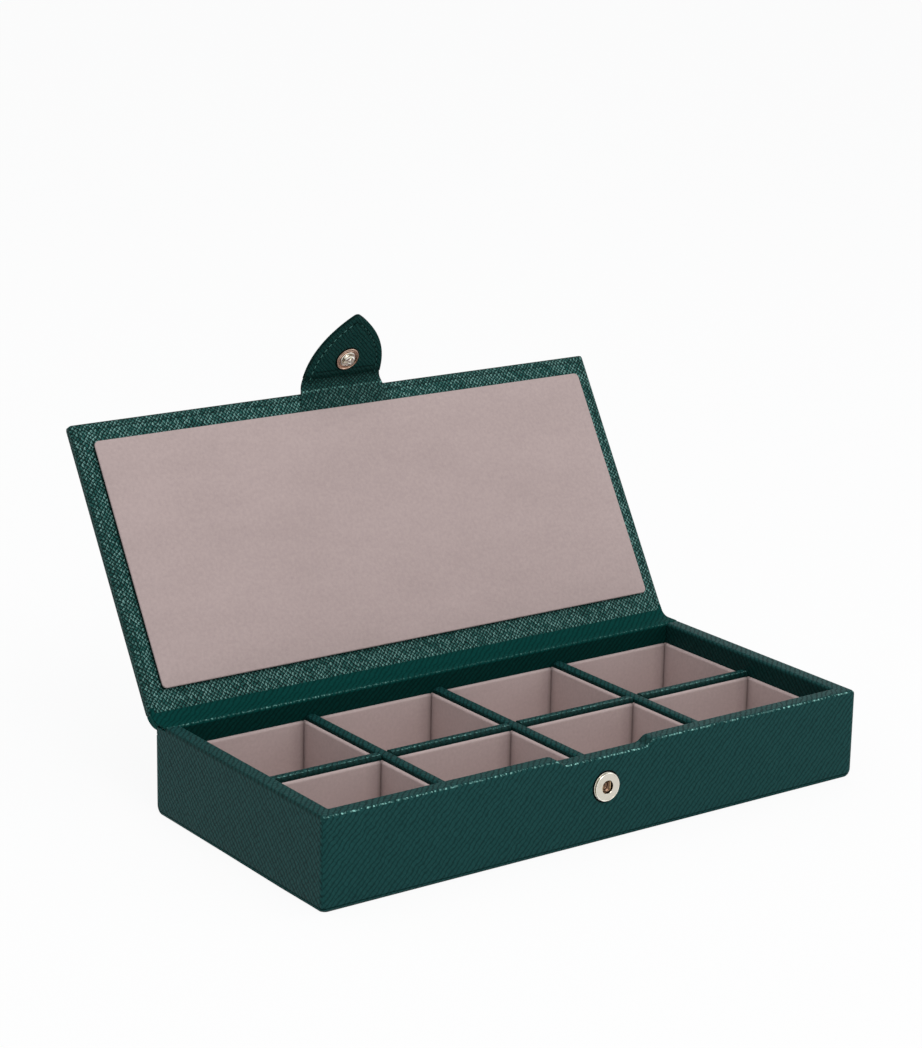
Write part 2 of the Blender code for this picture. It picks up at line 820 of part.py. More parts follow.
def build_stud(tab_pivot, centre):
    """A stepped flange and a necked post, with the rivet's flange between the plies."""
    face = leaf_thickness / 2 + seat
    bead = seat
    top = stud_height
    flange = stud_flange
    step = stud_flange + stud_step
    bore = stud_neck_radius - 2 * bead
    neck_top = top - stud_bulb
    stud = [
        (bore + bead, top),
        (stud_bulb_radius - bead, top),
        (stud_bulb_radius, top - bead),
        (stud_bulb_radius, neck_top + bead),
        (stud_neck_radius, neck_top),
        (stud_neck_radius, step),
        (stud_step_radius - bead / 2, step),
        (stud_step_radius, step - bead / 2),
        (stud_step_radius + bead, flange - bead / 2),
        (stud_flange_radius - 2 * bead, flange - bead / 2),
        (stud_flange_radius - bead, flange),
        (stud_flange_radius, flange - bead),
        (stud_flange_radius, 0),
        (bore + bead, 0),
    ]
    turned("snap_stud", stud, copper_metal, tab_pivot, centre - lid_point(0, face), (pi, 0, 0))
    rivet_top = top - 2 * bead + face - leaf_thickness / 2
    room = tab_ply_gap
    rivet = [
        (bore - bead / 3, rivet_top),
        (bore - bead / 3, -tab_ply),
        (stud_flange_radius, -tab_ply),
        (stud_flange_radius, -tab_ply - room / 3),
        (0, -tab_ply - room / 3),
        (0, rivet_top),
    ]
    turned(
        "stud_rivet", rivet, copper_metal, tab_pivot,
        centre - lid_point(0, leaf_thickness / 2), (pi, 0, 0),
    )


build_case_leather()
build_boards()
build_dividers()
build_linings()
build_socket()
build_hinge()
build_tab(build_lid())
bpy.context.view_layer.update()
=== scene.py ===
from math import atan2, cos, pi, radians, sin

import bmesh
import bpy
from mathutils import Matrix, Vector


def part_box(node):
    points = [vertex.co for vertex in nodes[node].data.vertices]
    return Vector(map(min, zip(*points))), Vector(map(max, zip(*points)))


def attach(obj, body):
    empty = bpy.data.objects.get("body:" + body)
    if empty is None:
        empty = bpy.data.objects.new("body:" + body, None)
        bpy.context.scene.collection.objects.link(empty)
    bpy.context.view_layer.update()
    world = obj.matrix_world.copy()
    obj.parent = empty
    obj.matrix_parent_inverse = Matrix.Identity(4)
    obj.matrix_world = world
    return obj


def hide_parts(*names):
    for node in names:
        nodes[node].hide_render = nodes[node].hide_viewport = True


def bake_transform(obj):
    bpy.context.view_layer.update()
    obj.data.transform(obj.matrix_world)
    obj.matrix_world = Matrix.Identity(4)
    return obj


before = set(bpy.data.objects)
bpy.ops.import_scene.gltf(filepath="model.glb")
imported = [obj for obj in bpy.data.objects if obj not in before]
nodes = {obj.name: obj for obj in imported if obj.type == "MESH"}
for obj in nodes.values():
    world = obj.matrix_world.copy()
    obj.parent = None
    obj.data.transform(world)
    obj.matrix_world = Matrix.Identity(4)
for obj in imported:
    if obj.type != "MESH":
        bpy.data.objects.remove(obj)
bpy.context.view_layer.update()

scene = bpy.context.scene
millimetre = 0.001
tiny = 1e-6  # places closer than this are one place

# where the lid and the leaf stand open
hinge = {"y": 0.0517, "z": 0.0313, "openAngle": radians(121.3)}
lidPose = Matrix.Translation((0, hinge["y"], hinge["z"])) @ Matrix.Rotation(-hinge["openAngle"], 4, "X")
leafFrame = {
    "axisY": -0.1004229, "axisZ": -0.0006599, "foldAngle": radians(56), "leafY": -0.0026901,
    "leafZ": 0.0038271,
}
leafPose = (
    lidPose
    @ Matrix.Translation((0, leafFrame["axisY"], leafFrame["axisZ"]))
    @ Matrix.Rotation(leafFrame["foldAngle"], 4, "X")
    @ Matrix.Translation((0, leafFrame["leafY"], leafFrame["leafZ"]))
)
leafOutward = leafPose.to_3x3() @ Vector((0, 0, 1))


def feed(tree, made, links):  # wires or sets each socket
    for socket, source in links.items():
        if hasattr(source, "is_output"):
            tree.links.new(source, made.inputs[socket])
        else:
            made.inputs[socket].default_value = source
    return made


def node(tree, kind, links=None, **settings):
    made = tree.nodes.new(kind)
    for key, value in settings.items():
        setattr(made, key, value)
    return feed(tree, made, links or {})


def math(tree, operation, first, second=0.0):
    return node(tree, "ShaderNodeMath", {0: first, 1: second}, operation=operation).outputs[0]


def times(tree, first, second):
    return math(tree, "MULTIPLY", first, second)


def plus(tree, first, second):
    return math(tree, "ADD", first, second)


def minus(tree, first, second):
    return math(tree, "SUBTRACT", first, second)


def vectorMath(tree, operation, links):
    return node(tree, "ShaderNodeVectorMath", links, operation=operation).outputs[0]


def ramp(tree, value, low, high, bottom=0.0, top=1.0):
    links = {0: value, 1: low, 2: high, 3: bottom, 4: top}
    return node(tree, "ShaderNodeMapRange", links, interpolation_type="SMOOTHSTEP").outputs[0]


def noise(tree, vector, scale, detail, roughness=0.5):
    links = {"Vector": vector, "Scale": scale, "Detail": detail, "Roughness": roughness}
    return node(tree, "ShaderNodeTexNoise", links).outputs


def chance(tree, first, second):  # one random number for each cell
    cell = node(tree, "ShaderNodeCombineXYZ", {0: first, 1: second}).outputs[0]
    return node(tree, "ShaderNodeTexWhiteNoise", {"Vector": cell}, noise_dimensions="2D").outputs["Value"]


def stretched(tree, vector, scale, turn=(0.0, 0.0, 0.0)):
    return node(tree, "ShaderNodeMapping", {"Vector": vector, "Scale": scale, "Rotation": turn}).outputs[0]


def bump(tree, height, distance, strength):
    links = {"Height": height, "Distance": distance, "Strength": strength}
    return node(tree, "ShaderNodeBump", links).outputs[0]


def blendColor(tree, share, first, second):
    ends = [source if hasattr(source, "is_output") else (*source, 1) for source in (first, second)]
    return node(tree, "ShaderNodeMix", {0: share, 6: ends[0], 7: ends[1]}, data_type="RGBA").outputs[2]


def painted(tree, name):  # a value that the mesh carries
    return node(tree, "ShaderNodeAttribute", attribute_name=name).outputs["Fac"]


def objectSpot(tree):
    return node(tree, "ShaderNodeTexCoord").outputs["Object"]


def newGroup(name, numbers, outputs):  # a group reads a vector and named numbers, and puts out numbers
    group = bpy.data.node_groups.new(name, "ShaderNodeTree")
    group.interface.new_socket(name="Vector", in_out="INPUT", socket_type="NodeSocketVector")
    for label, value in numbers.items():
        socket = group.interface.new_socket(name=label, in_out="INPUT", socket_type="NodeSocketFloat")
        socket.default_value = value
    for label in outputs:
        group.interface.new_socket(name=label, in_out="OUTPUT", socket_type="NodeSocketFloat")
    return group, group.nodes.new("NodeGroupInput").outputs, group.nodes.new("NodeGroupOutput")


def useGroup(tree, group, values):
    return node(tree, "ShaderNodeGroup", values, node_tree=group).outputs


grain = {
    "drift": ((300.0, 1.0), (1300.0, 0.32)),  # slow drift of the lines, then their small kinks
    "wave": (0.03, 0.60), "flank": (0.50, 0.95), "flankShift": 0.2, "streakCells": 4.0, "singleShare": 0.6,
    "luck": (0.10, 0.95, 0.10, 1.0), "lowest": 0.7, "patchScale": 110.0,
}


def buildGrainGroup():
    group, entry, leave = newGroup(
        "crossGrain",
        {"Pitch": 0.0015, "First lean": 0.8, "Second lean": -0.8, "Second depth": 0.8, "Wander": 0.0012},
        ("Height", "Ridge", "Glint", "Patch"),
    )
    vector = moved = entry["Vector"]
    for scale, share in grain["drift"]:
        drift = noise(group, vector, scale, 1.0)["Color"]
        centred = vectorMath(group, "SUBTRACT", {0: drift, 1: (0.5, 0.5, 0.5)})
        pushed = vectorMath(group, "SCALE", {0: centred, "Scale": times(group, entry["Wander"], share)})
        moved = vectorMath(group, "ADD", {0: moved, 1: pushed})

    def rise(value):
        return times(group, math(group, "PINGPONG", value, 0.5), 2.0)

    waves, flanks, counts = [], [], []
    for lean in ("First lean", "Second lean"):
        links = {"Vector": moved, "Angle": entry[lean]}
        turned = node(group, "ShaderNodeVectorRotate", links, rotation_type="Z_AXIS").outputs[0]
        across = node(group, "ShaderNodeSeparateXYZ", {0: turned}).outputs[0]
        count = math(group, "DIVIDE", across, entry["Pitch"])
        counts.append(math(group, "FLOOR", count))
        waves.append(ramp(group, rise(count), *grain["wave"]))
        flanks.append(ramp(group, rise(plus(group, count, grain["flankShift"])), *grain["flank"]))
    second = minus(group, 1.0, times(group, entry["Second depth"], minus(group, 1.0, waves[1])))
    single = chance(group, *counts)
    stretch = math(group, "FLOOR", math(group, "DIVIDE", counts[1], grain["streakCells"]))
    streak = chance(group, counts[0], stretch)
    share = grain["singleShare"]
    cell = plus(group, times(group, single, share), times(group, streak, 1 - share))
    # Glint is a painted highlight: bright strokes on one flank of each ridge, brighter in some cells than
    # others
    strokes = [times(group, flanks[i], waves[1 - i]) for i in (0, 1)]  # broken by the other family's grooves
    lucky = [ramp(group, luck, *grain["luck"]) for luck in (cell, single)]
    lit = [times(group, strokes[i], lucky[i]) for i in (0, 1)]
    uneven = ramp(group, cell, 0.0, 1.0, grain["lowest"], 1.0)
    feed(group, leave, {
        "Height": times(group, times(group, waves[0], second), uneven),
        "Ridge": math(group, "MAXIMUM", *strokes),
        "Glint": math(group, "MAXIMUM", *lit),
        "Patch": noise(group, vector, grain["patchScale"], 3.0)[0],
    })
    return group


nap = {
    "hair": (5200.0, 3.0, 0.7), "speck": (900.0, 2.0), "brush": (30.0, 75.0, 75.0),
    "brushTurn": (0.0, 0.4, 0.5), "mottle": 1.1, "fine": 0.8, "dots": 0.7, "hairHeight": 0.7,
}


def buildNapGroup():
    group, entry, leave = newGroup("suedeNap", {"Mottle": 1.0}, ("Shade", "Height"))
    vector = entry["Vector"]
    hair = noise(group, vector, *nap["hair"])[0]
    stroke = noise(group, stretched(group, vector, nap["brush"], nap["brushTurn"]), 1.0, 4.0, 0.55)[0]
    speck = noise(group, vector, *nap["speck"])[0]
    wide = times(group, minus(group, stroke, 0.5), times(group, entry["Mottle"], nap["mottle"]))
    fine = times(group, minus(group, hair, 0.5), nap["fine"])
    dots = times(group, minus(group, speck, 0.5), nap["dots"])
    share = nap["hairHeight"]
    feed(group, leave, {
        "Shade": plus(group, 0.5, plus(group, wide, plus(group, fine, dots))),
        "Height": plus(group, times(group, hair, share), times(group, speck, 1 - share)),
    })
    return group


def buildFibreGroup():
    group, entry, leave = newGroup("boardFibre", {}, ("Shade", "Height"))
    fibre = noise(group, stretched(group, entry["Vector"], (350.0, 1500.0, 1500.0)), 1.0, 5.0)[0]
    cells = {"Vector": entry["Vector"], "Scale": 700.0}
    fleck = node(group, "ShaderNodeTexVoronoi", cells).outputs["Distance"]
    shade = plus(group, times(group, fibre, 0.8), times(group, fleck, 0.2))
    feed(group, leave, {"Shade": shade, "Height": fibre})
    return group


def buildRubGroup():
    group, entry, leave = newGroup("rubMarks", {"Marks": 0.1}, ("Roughness", "Tarnish", "Height"))
    vector = entry["Vector"]
    smear = noise(group, vector, 420.0, 4.0)[0]
    scratch = noise(group, stretched(group, vector, (900.0, 9000.0, 4000.0), (0.3, 0.2, 0.7)), 1.0, 2.0)[0]
    lines = ramp(group, scratch, 0.6, 0.72)
    feed(group, leave, {
        "Roughness": plus(group, 0.12, times(group, entry["Marks"], plus(group, smear, lines))),
        "Tarnish": ramp(group, smear, 0.55, 0.75), "Height": lines,
    })
    return group


grainGroup = buildGrainGroup()
napGroup = buildNapGroup()
fibreGroup = buildFibreGroup()
rubGroup = buildRubGroup()


def emptyMaterial(name):
    made = bpy.data.materials.new(name)
    made.use_nodes = True
    return made, made.node_tree, made.node_tree.nodes["Principled BSDF"]


# caseLeather, lidLeather and leafLeather are one grained leather, coloured for the light each part catches:
# the lid brighter, the leaf darker as painted shade. Each glint colour is a painted highlight.
leathers = {
    "caseLeather": {
        "groove": (0.0025, 0.028, 0.027), "ridge": (0.007, 0.053, 0.0505), "glint": (0.011, 0.066, 0.063),
        "glintShare": 0.42, "pitch": 0.00162, "leans": (44, -44), "second": 0.35, "wander": 0.0017,
        "depth": 0.00005, "rough": (0.60, 0.50), "shine": 0.07,
    },
    "lidLeather": {
        "groove": (0.0002, 0.0095, 0.008), "ridge": (0.006, 0.076, 0.066), "glint": (0.30, 0.56, 0.51),
        "glintShare": 0.68, "pitch": 0.00114, "leans": (45, -45), "second": 0.95, "wander": 0.0014,
        "depth": 0.00012, "rough": (0.60, 0.42), "shine": 0.07,
    },
    "leafLeather": {
        "groove": (0.0008, 0.019, 0.0168), "ridge": (0.004, 0.0385, 0.034), "glint": (0.022, 0.09, 0.08),
        "glintShare": 0.35, "pitch": 0.00115, "leans": (45, -40), "second": 0.30, "wander": 0.0014,
        "depth": 0.00012, "rough": (0.60, 0.46), "shine": 0.06,
    },
    "hingeLeather": {
        "groove": (0.0008, 0.027, 0.023), "ridge": (0.0016, 0.046, 0.04), "glint": (0.004, 0.064, 0.056),
        "glintShare": 0.2, "pitch": 0.00158, "leans": (48, -40), "second": 0.3, "wander": 0.0014,
        "depth": 0.00004, "rough": (0.72, 0.62), "shine": 0.03,
    },
}
edgeHighlight = {  # painted highlight: ridges drawn bright where the leather turns
    "edge": (0.27, 0.58, 0.52), "band": (0.35, 0.60), "patch": 0.14, "fleckScale": 1100.0,
    "flecks": (0.46, 0.58), "between": 0.3,
}
ends = {"second": 0.2, "groove": 0.35}  # on the short sides both families of lines are cut deeper
# painted shade: marked faces, inside walls most, are mixed toward this dark colour
shadeTint = {"color": (0.0004, 0.0110, 0.0090), "share": 0.68, "ridge": 0.50}


def leatherMaterial(name, look):
    made, tree, shader = emptyMaterial(name)
    cloth = node(tree, "ShaderNodeUVMap", uv_map="grain").outputs[0]
    side = painted(tree, "side")
    lines = useGroup(tree, grainGroup, {
        "Vector": cloth, "Pitch": look["pitch"], "Wander": look["wander"],
        "First lean": radians(look["leans"][0]), "Second lean": radians(look["leans"][1]),
        "Second depth": plus(tree, look["second"], times(tree, side, ends["second"])),
    })
    height, ridge, glint, patch = (lines[label] for label in ("Height", "Ridge", "Glint", "Patch"))
    darkened = tuple(channel * (1 - ends["groove"]) for channel in look["groove"])
    groove = blendColor(tree, side, look["groove"], darkened)
    ground = blendColor(tree, ramp(tree, height, 0.05, 0.75), groove, look["ridge"])
    # calm marks faces where fewer of the painted highlights show
    shining = times(tree, look["glintShare"], minus(tree, 1.0, painted(tree, "calm")))
    glinted = blendColor(tree, times(tree, glint, shining), ground, look["glint"])
    softened = blendColor(tree, ramp(tree, patch, 0.35, 0.75, 0.0, edgeHighlight["patch"]), glinted, look["ridge"])
    # painted highlight: bright flecks on the ridges, laid on the faces that the edge attribute marks
    fleck = noise(tree, cloth, edgeHighlight["fleckScale"], 2.0)[0]
    caught = ramp(tree, ridge, 0.0, 0.6, edgeHighlight["between"], 1.0)
    flecks = times(tree, ramp(tree, fleck, *edgeHighlight["flecks"]), caught)
    tips = times(tree, flecks, ramp(tree, patch, *edgeHighlight["band"], 0.45, 1.0))
    highlighted = blendColor(tree, times(tree, painted(tree, "edge"), tips), softened, edgeHighlight["edge"])
    # painted shade, a little lighter on the ridges
    first = ramp(tree, height, 0.3, 0.95, shadeTint["share"], shadeTint["ridge"])
    kept = times(tree, painted(tree, "deep"), first)
    feed(tree, shader, {
        "Base Color": blendColor(tree, kept, highlighted, shadeTint["color"]),
        "Roughness": ramp(tree, height, 0.1, 0.9, *look["rough"]),
        "Normal": bump(tree, height, look["depth"], 1.0),
        "Specular IOR Level": look["shine"],
    })
    return made


seamShade = (0.10, 0.070, 0.066)


def suedeMaterial(name, low, high, mottle):
    made, tree, shader = emptyMaterial(name)
    pile = useGroup(tree, napGroup, {"Vector": objectSpot(tree), "Mottle": mottle})
    brushed = blendColor(tree, pile["Shade"], low, high)
    feed(tree, shader, {
        "Base Color": blendColor(tree, painted(tree, "seam"), brushed, seamShade),
        "Normal": bump(tree, pile["Height"], 0.00006, 0.6),
        "Roughness": 0.95, "Specular IOR Level": 0.1, "Sheen Weight": 0.12, "Sheen Roughness": 0.5,
    })
    return made


def metalMaterial(name, clean, tarnish, marks):
    made, tree, shader = emptyMaterial(name)
    rub = useGroup(tree, rubGroup, {"Vector": objectSpot(tree), "Marks": marks})
    feed(tree, shader, {
        "Base Color": blendColor(tree, rub["Tarnish"], clean, tarnish), "Roughness": rub["Roughness"],
        "Normal": bump(tree, rub["Height"], 0.000004, 0.5), "Metallic": 1.0,
    })
    return made


def boardMaterial(name, low, high):
    made, tree, shader = emptyMaterial(name)
    fibre = useGroup(tree, fibreGroup, {"Vector": objectSpot(tree)})
    feed(tree, shader, {
        "Base Color": blendColor(tree, fibre["Shade"], low, high),
        "Normal": bump(tree, fibre["Height"], 0.00005, 0.5), "Roughness": 0.9,
    })
    return made


# the thread is painted toward this colour where it lies in shade
shadedThread = (0.0055, 0.0560, 0.0490)


def threadMaterial(name, low, high, shine):
    made, tree, shader = emptyMaterial(name)
    links = {"Vector": objectSpot(tree), "Scale": 900.0, "Distortion": 1.5}
    twist = node(tree, "ShaderNodeTexWave", links).outputs[1]
    feed(tree, shader, {
        "Base Color": blendColor(tree, painted(tree, "deep"), blendColor(tree, twist, low, high), shadedThread),
        "Normal": bump(tree, twist, 0.00004, 0.8), "Roughness": 0.6, "Specular IOR Level": shine,
    })
    return made


finishes = {
    suedeMaterial: {
        "lidSuede": ((0.380, 0.297, 0.284), (0.540, 0.428, 0.410), 0.45),
        "liningSuede": ((0.42, 0.326, 0.310), (0.57, 0.455, 0.437), 0.35),
    },
    metalMaterial: {
        "paleMetal": ((0.86, 0.83, 0.75), (0.66, 0.61, 0.52), 0.10),
        # a darker copy of the pale metal for the socket's face, so the bead beside it reads brighter: painted
        # shade
        "shadedPaleMetal": ((0.64, 0.61, 0.53), (0.58, 0.54, 0.45), 0.14),
        "copperMetal": ((0.60, 0.43, 0.34), (0.30, 0.19, 0.13), 0.12),
        # the metal inside the socket's hole, coloured dark as painted shade
        "shadedMetal": ((0.15, 0.090, 0.060), (0.02, 0.012, 0.009), 0.14),
        "bronzeWire": ((0.55, 0.40, 0.24), (0.30, 0.20, 0.12), 0.16),
    },
    boardMaterial: {"greyBoard": ((0.24, 0.21, 0.18), (0.42, 0.39, 0.34))},
    threadMaterial: {
        "greenThread": ((0.030, 0.110, 0.095), (0.070, 0.220, 0.190), 0.3),
        "holeShade": ((0.0004, 0.0026, 0.0022), (0.0008, 0.0050, 0.0044), 0.03),
    },
}
looks = {name: leatherMaterial(name, look) for name, look in leathers.items()}
for build, kinds in finishes.items():
    for name, values in kinds.items():
        looks[name] = build(name, *values)
print("materials ready:", len(looks))


def flattenGrain(bm, pose=Matrix.Identity(4)):  # each face takes its grain from the nearest plane
    back = pose.inverted()
    turn = back.to_3x3()
    layer = bm.loops.layers.uv.get("grain") or bm.loops.layers.uv.new("grain")
    bm.normal_update()
    for face in bm.faces:
        facing = turn @ face.normal
        axis = max(range(3), key=lambda i: abs(facing[i]))
        for loop in face.loops:
            spot = back @ loop.vert.co
            loop[layer].uv = ((spot.y, spot.z), (spot.x, spot.z), (spot.x, spot.y))[axis]


def paint(bm, names, valuesAt):  # writes the values that the leathers read
    layers = [bm.loops.layers.float.new(name) for name in names]
    bm.normal_update()
    for face in bm.faces:
        for loop in face.loops:
            for layer, value in zip(layers, valuesAt(face, loop.vert.co)):
                loop[layer] = value


def bevel(bm, edges, width, segments):
    bmesh.ops.bevel(
        bm, geom=edges, offset=width, offset_type="OFFSET", segments=segments, profile=0.5, affect="EDGES",
        clamp_overlap=True, material=-1,
    )


def move(bm, pose):
    bmesh.ops.transform(bm, matrix=pose, verts=bm.verts)


def mergeInto(whole, part):
    mesh = bpy.data.meshes.new("part")
    part.to_mesh(mesh)
    part.free()
    whole.from_mesh(mesh)
    bpy.data.meshes.remove(mesh)


def cadCopy(name, flatten=False):
    bm = bmesh.new()
    bm.from_mesh(nodes[name].data)
    bmesh.ops.remove_doubles(bm, verts=bm.verts, dist=2e-6)
    if flatten:
        bmesh.ops.dissolve_limit(bm, angle_limit=radians(0.4), verts=bm.verts, edges=bm.edges)
    return bm


def bake(thing):
    bpy.context.view_layer.update()
    shaped = thing.evaluated_get(bpy.context.evaluated_depsgraph_get())
    thing.data = bpy.data.meshes.new_from_object(shaped)
    thing.modifiers.clear()


def thickened(width):
    return ("SOLIDIFY", {"thickness": width, "offset": 0.0, "use_even_offset": True})


def giveLook(thing, look):
    thing.data.materials.clear()
    thing.data.materials.append(looks[look])


def finishPiece(bm, name, look, body, standsFor=(), sharp=38, weighted=True, modifiers=()):
    mesh = bpy.data.meshes.new(name)
    bm.to_mesh(mesh)
    bm.free()
    thing = bpy.data.objects.new(name, mesh)
    scene.collection.objects.link(thing)
    for kind, values in modifiers:
        added = thing.modifiers.new(kind.lower(), kind)
        for key, value in values.items():
            setattr(added, key, value)
    if modifiers:
        bake(thing)
    thing.data.shade_smooth()
    thing.data.set_sharp_from_angle(angle=radians(sharp))
    if weighted:
        normals = thing.modifiers.new("evenNormals", "WEIGHTED_NORMAL")
        normals.keep_sharp = True
        normals.weight = 80
        bake(thing)
    giveLook(thing, look)
    if body:
        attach(thing, body)
    if standsFor:
        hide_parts(*standsFor)
    return thing


def cut(bm, spot, facing, faces=None):
    chosen = bm.faces[:] if faces is None else faces
    geometry = {item for face in chosen for item in (face, *face.edges, *face.verts)}
    bmesh.ops.bisect_plane(bm, geom=list(geometry), dist=1e-7, plane_co=spot, plane_no=facing)


def cutAt(bm, axis, *places):  # cuts square to one axis
    facing = Vector([float(i == axis) for i in range(3)])
    for place in places:
        cut(bm, facing * place, facing)


def insetFaces(bm, faces, width):
    bmesh.ops.inset_region(bm, faces=faces, thickness=width, use_even_offset=True, use_boundary=True)


def rectBox(low, high):
    bm = bmesh.new()
    bmesh.ops.create_cube(bm, size=1.0)
    bmesh.ops.scale(bm, vec=Vector(high) - Vector(low), verts=bm.verts)
    bmesh.ops.translate(bm, vec=(Vector(high) + Vector(low)) / 2, verts=bm.verts)
    return bm


# what the leather hides, and the wire spring, keep their solids
for name in (
    "floor_board", "front_wall_board", "back_wall_board", "left_wall_board", "right_wall_board", "lid_board",
    "lid_infill", "pad_card",
):
    giveLook(nodes[name], "greyBoard")
giveLook(nodes["socket_spring"], "bronzeWire")


def crownedBox(low, high, corner, edge, crown, cells, facing, under=0.0):
    bm = rectBox(low, high)
    for axis in (0, 1):
        span = (high[axis] - low[axis]) * 0.9
        long = [e for e in bm.edges if abs(e.verts[0].co[axis] - e.verts[1].co[axis]) > span]
        bmesh.ops.subdivide_edges(bm, edges=long, cuts=cells[axis] - 1, use_grid_fill=True)
    level = high[2] if facing > 0 else low[2]
    tall = high[2] - low[2]

    def atCorner(vert):
        return all(min(abs(vert.co[i] - low[i]), abs(vert.co[i] - high[i])) < tiny for i in (0, 1))

    def ring(height):
        return [
            e for e in bm.edges
            if all(abs(v.co.z - height) < tiny for v in e.verts)
            and any(abs(f.normal.z) < 0.5 for f in e.link_faces)
        ]

    uprights = [
        e for e in bm.edges
        if abs(e.verts[0].co.z - e.verts[1].co.z) > tall * 0.9 and all(atCorner(v) for v in e.verts)
    ]
    bevel(bm, uprights, corner, 7)
    bevel(bm, ring(level), edge, 5)
    if under:
        bevel(bm, ring(low[2] + high[2] - level), under, 3)
    middle, half = (Vector(low) + Vector(high)) / 2, (Vector(high) - Vector(low)) / 2
    for vert in bm.verts:
        if abs(vert.co.z - level) < tall * 0.75:
            across, along = (vert.co.x - middle.x) / half.x, (vert.co.y - middle.y) / half.y
            share = (1 - across ** 6) * (1 - along ** 4)
            vert.co.z += facing * crown * max(0.0, share)
    return bm


case = {
    "halfWidth": 0.1075, "halfDepth": 0.0495, "corner": 0.0018, "insideX": 0.1030, "insideY": 0.0450,
    "frontRim": -0.0483, "deepest": 1.25, "endRim": 0.7, "rimCross": 0.5, "railCross": 0.8,
}
turns = {  # the facet given a painted highlight where leather turns over, and how painted shade darkens the inside below it
    "rim": {"facet": (0.6, 0.8), "fade": 0.6, "shade": 1.0, "rub": 1.0},
    "long": {"facet": (0.9, 0.99), "fade": 0.98, "shade": 4.0, "rub": 0.55},
    "cross": {"facet": (0.9, 0.99), "fade": 0.6, "shade": 2.2, "rub": 0.0},
}


# edge is the painted highlight, deep the painted shade on sheltered faces and on the end rims' outer facets,
# side the deeper cross lines
def markFaces(bm, highlightAt, shelteredAt, turn="rim", cross=0.0):
    low, high = turns[turn]["facet"]

    def marks(face, spot):
        x, y, z = face.normal
        hidden = shelteredAt(face)
        if hidden:
            below = max(0.0, 1.0 - max(0.0, z) / turns[turn]["fade"])
            dark = min(case["deepest"], turns[turn]["shade"] * below)
        else:
            dark = case["endRim"] if abs(x) > 0.3 and 0.2 < z < 0.9 else 0.0
        crossed = 1.0 if abs(x) > 0.7 and not hidden else cross if z > 0.3 else 0.0
        return highlightAt(spot) if low < z < high and y < -0.1 else 0.0, dark, crossed

    paint(bm, ("edge", "deep", "side"), marks)


def squareCorners(bm, halfWidth, front, back):  # wrapped corners are tighter than the board's
    for vert in bm.verts:
        across = abs(vert.co.x) - (halfWidth - case["corner"])
        along = max(front + case["corner"] - vert.co.y, vert.co.y - (back - case["corner"]))
        if across > 0 and along > 0:
            reach = (across ** 2 + along ** 2) ** 0.5
            grow = reach / (across ** 4 + along ** 4) ** 0.25 - 1
            vert.co.x += across * grow * (1 if vert.co.x > 0 else -1)
            vert.co.y += along * grow * (1 if vert.co.y > (front + back) / 2 else -1)


def insideWalls(face):
    spot = face.calc_center_median()
    within = abs(spot.x) < case["insideX"] and abs(spot.y) < case["insideY"]
    return within and face.normal.x * spot.x + face.normal.y * spot.y < 0


foot = {
    "height": 0.0030, "reach": 0.0050, "draw": 0.0013, "levels": (0.0005, 0.0009, 0.0015, 0.0022, 0.0030),
    "shade": 1.3,
}


def roundFoot(bm):  # leather pulled round the four lower corners
    cutAt(bm, 2, *foot["levels"])
    insideX, insideY = case["halfWidth"] - foot["reach"], case["halfDepth"] - foot["reach"]
    for vert in bm.verts:
        spot = vert.co
        near = min(abs(spot.x) - insideX, abs(spot.y) - insideY) / foot["reach"]
        depth = max(0.0, foot["height"] - spot.z) / foot["height"]
        if near > 0 and depth > 0:
            draw = foot["draw"] * near * (1 - max(0.0, 1 - depth ** 2) ** 0.5)
            vert.co -= Vector((draw if spot.x > 0 else -draw, draw if spot.y > 0 else -draw, 0))


def buildCase():
    wrap = cadCopy("case_leather")
    squareCorners(wrap, case["halfWidth"], -case["halfDepth"], case["halfDepth"])
    roundFoot(wrap)
    flattenGrain(wrap)
    # painted highlight on the front rim's turned facet, painted shade on the inside walls
    rim, front = turns["rim"]["rub"], case["frontRim"]
    markFaces(wrap, lambda spot: rim if spot.y < front else 0.0, insideWalls, cross=case["rimCross"])
    finishPiece(wrap, "caseWrap", "caseLeather", "case", ["case_leather"])
    panel = cadCopy("base_panel")
    low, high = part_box("base_panel")
    squareCorners(panel, high.x, low.y, high.y)
    roundFoot(panel)
    # painted shadow along the base panel's lower edge
    shade, lowest = foot["shade"], foot["levels"][0]
    paint(panel, ["deep"], lambda face, spot: [shade if face.calc_center_median().z < lowest else 0.0])
    flattenGrain(panel)
    finishPiece(panel, "underPanel", "caseLeather", "case", ["base_panel"])
    for name in ("long_divider", "cross_divider_1", "cross_divider_2", "cross_divider_3"):
        rail = cadCopy(name)
        flattenGrain(rail)
        turn, number = name.split("_")[0], name.split("_")[2:]
        # painted highlight on the long rail's front top facet, painted shade on the rails' sides
        markFaces(rail, lambda spot: turns[turn]["rub"], lambda face: True, turn, case["railCross"])
        finishPiece(rail, turn + "Rail" + "".join(number), "caseLeather", "case", [name])
    print("case, base and dividers dressed")


linings = {
    "thickness": 0.0010, "drop": 0.0003, "topRound": 0.00085, "cornerRound": 0.0006, "seam": 0.00006,
    "shortShade": ((0.0, 0.85), (0.0007, 0.45), (0.0018, 0.20), (0.0060, 0.0)),
    "longShade": ((0.0010, 0.55), (0.0018, 0.15), (0.0036, 0.0)),
}
floorPad = {
    "gap": 0.00005, "height": 0.0014, "corner": 0.0006, "edge": 0.0005, "crown": 0.0003, "cells": (9, 8),
}


def buildLinings():
    for row in ("front", "rear"):
        for column in range(1, 5):
            wrapNode, padNode = f"lining_{row}_{column}", f"floor_pad_{row}_{column}"
            low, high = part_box(wrapNode)
            buildLining(wrapNode, low, high)
            buildFloorPad(padNode, low, high)
    print("eight linings and eight floor pads made")


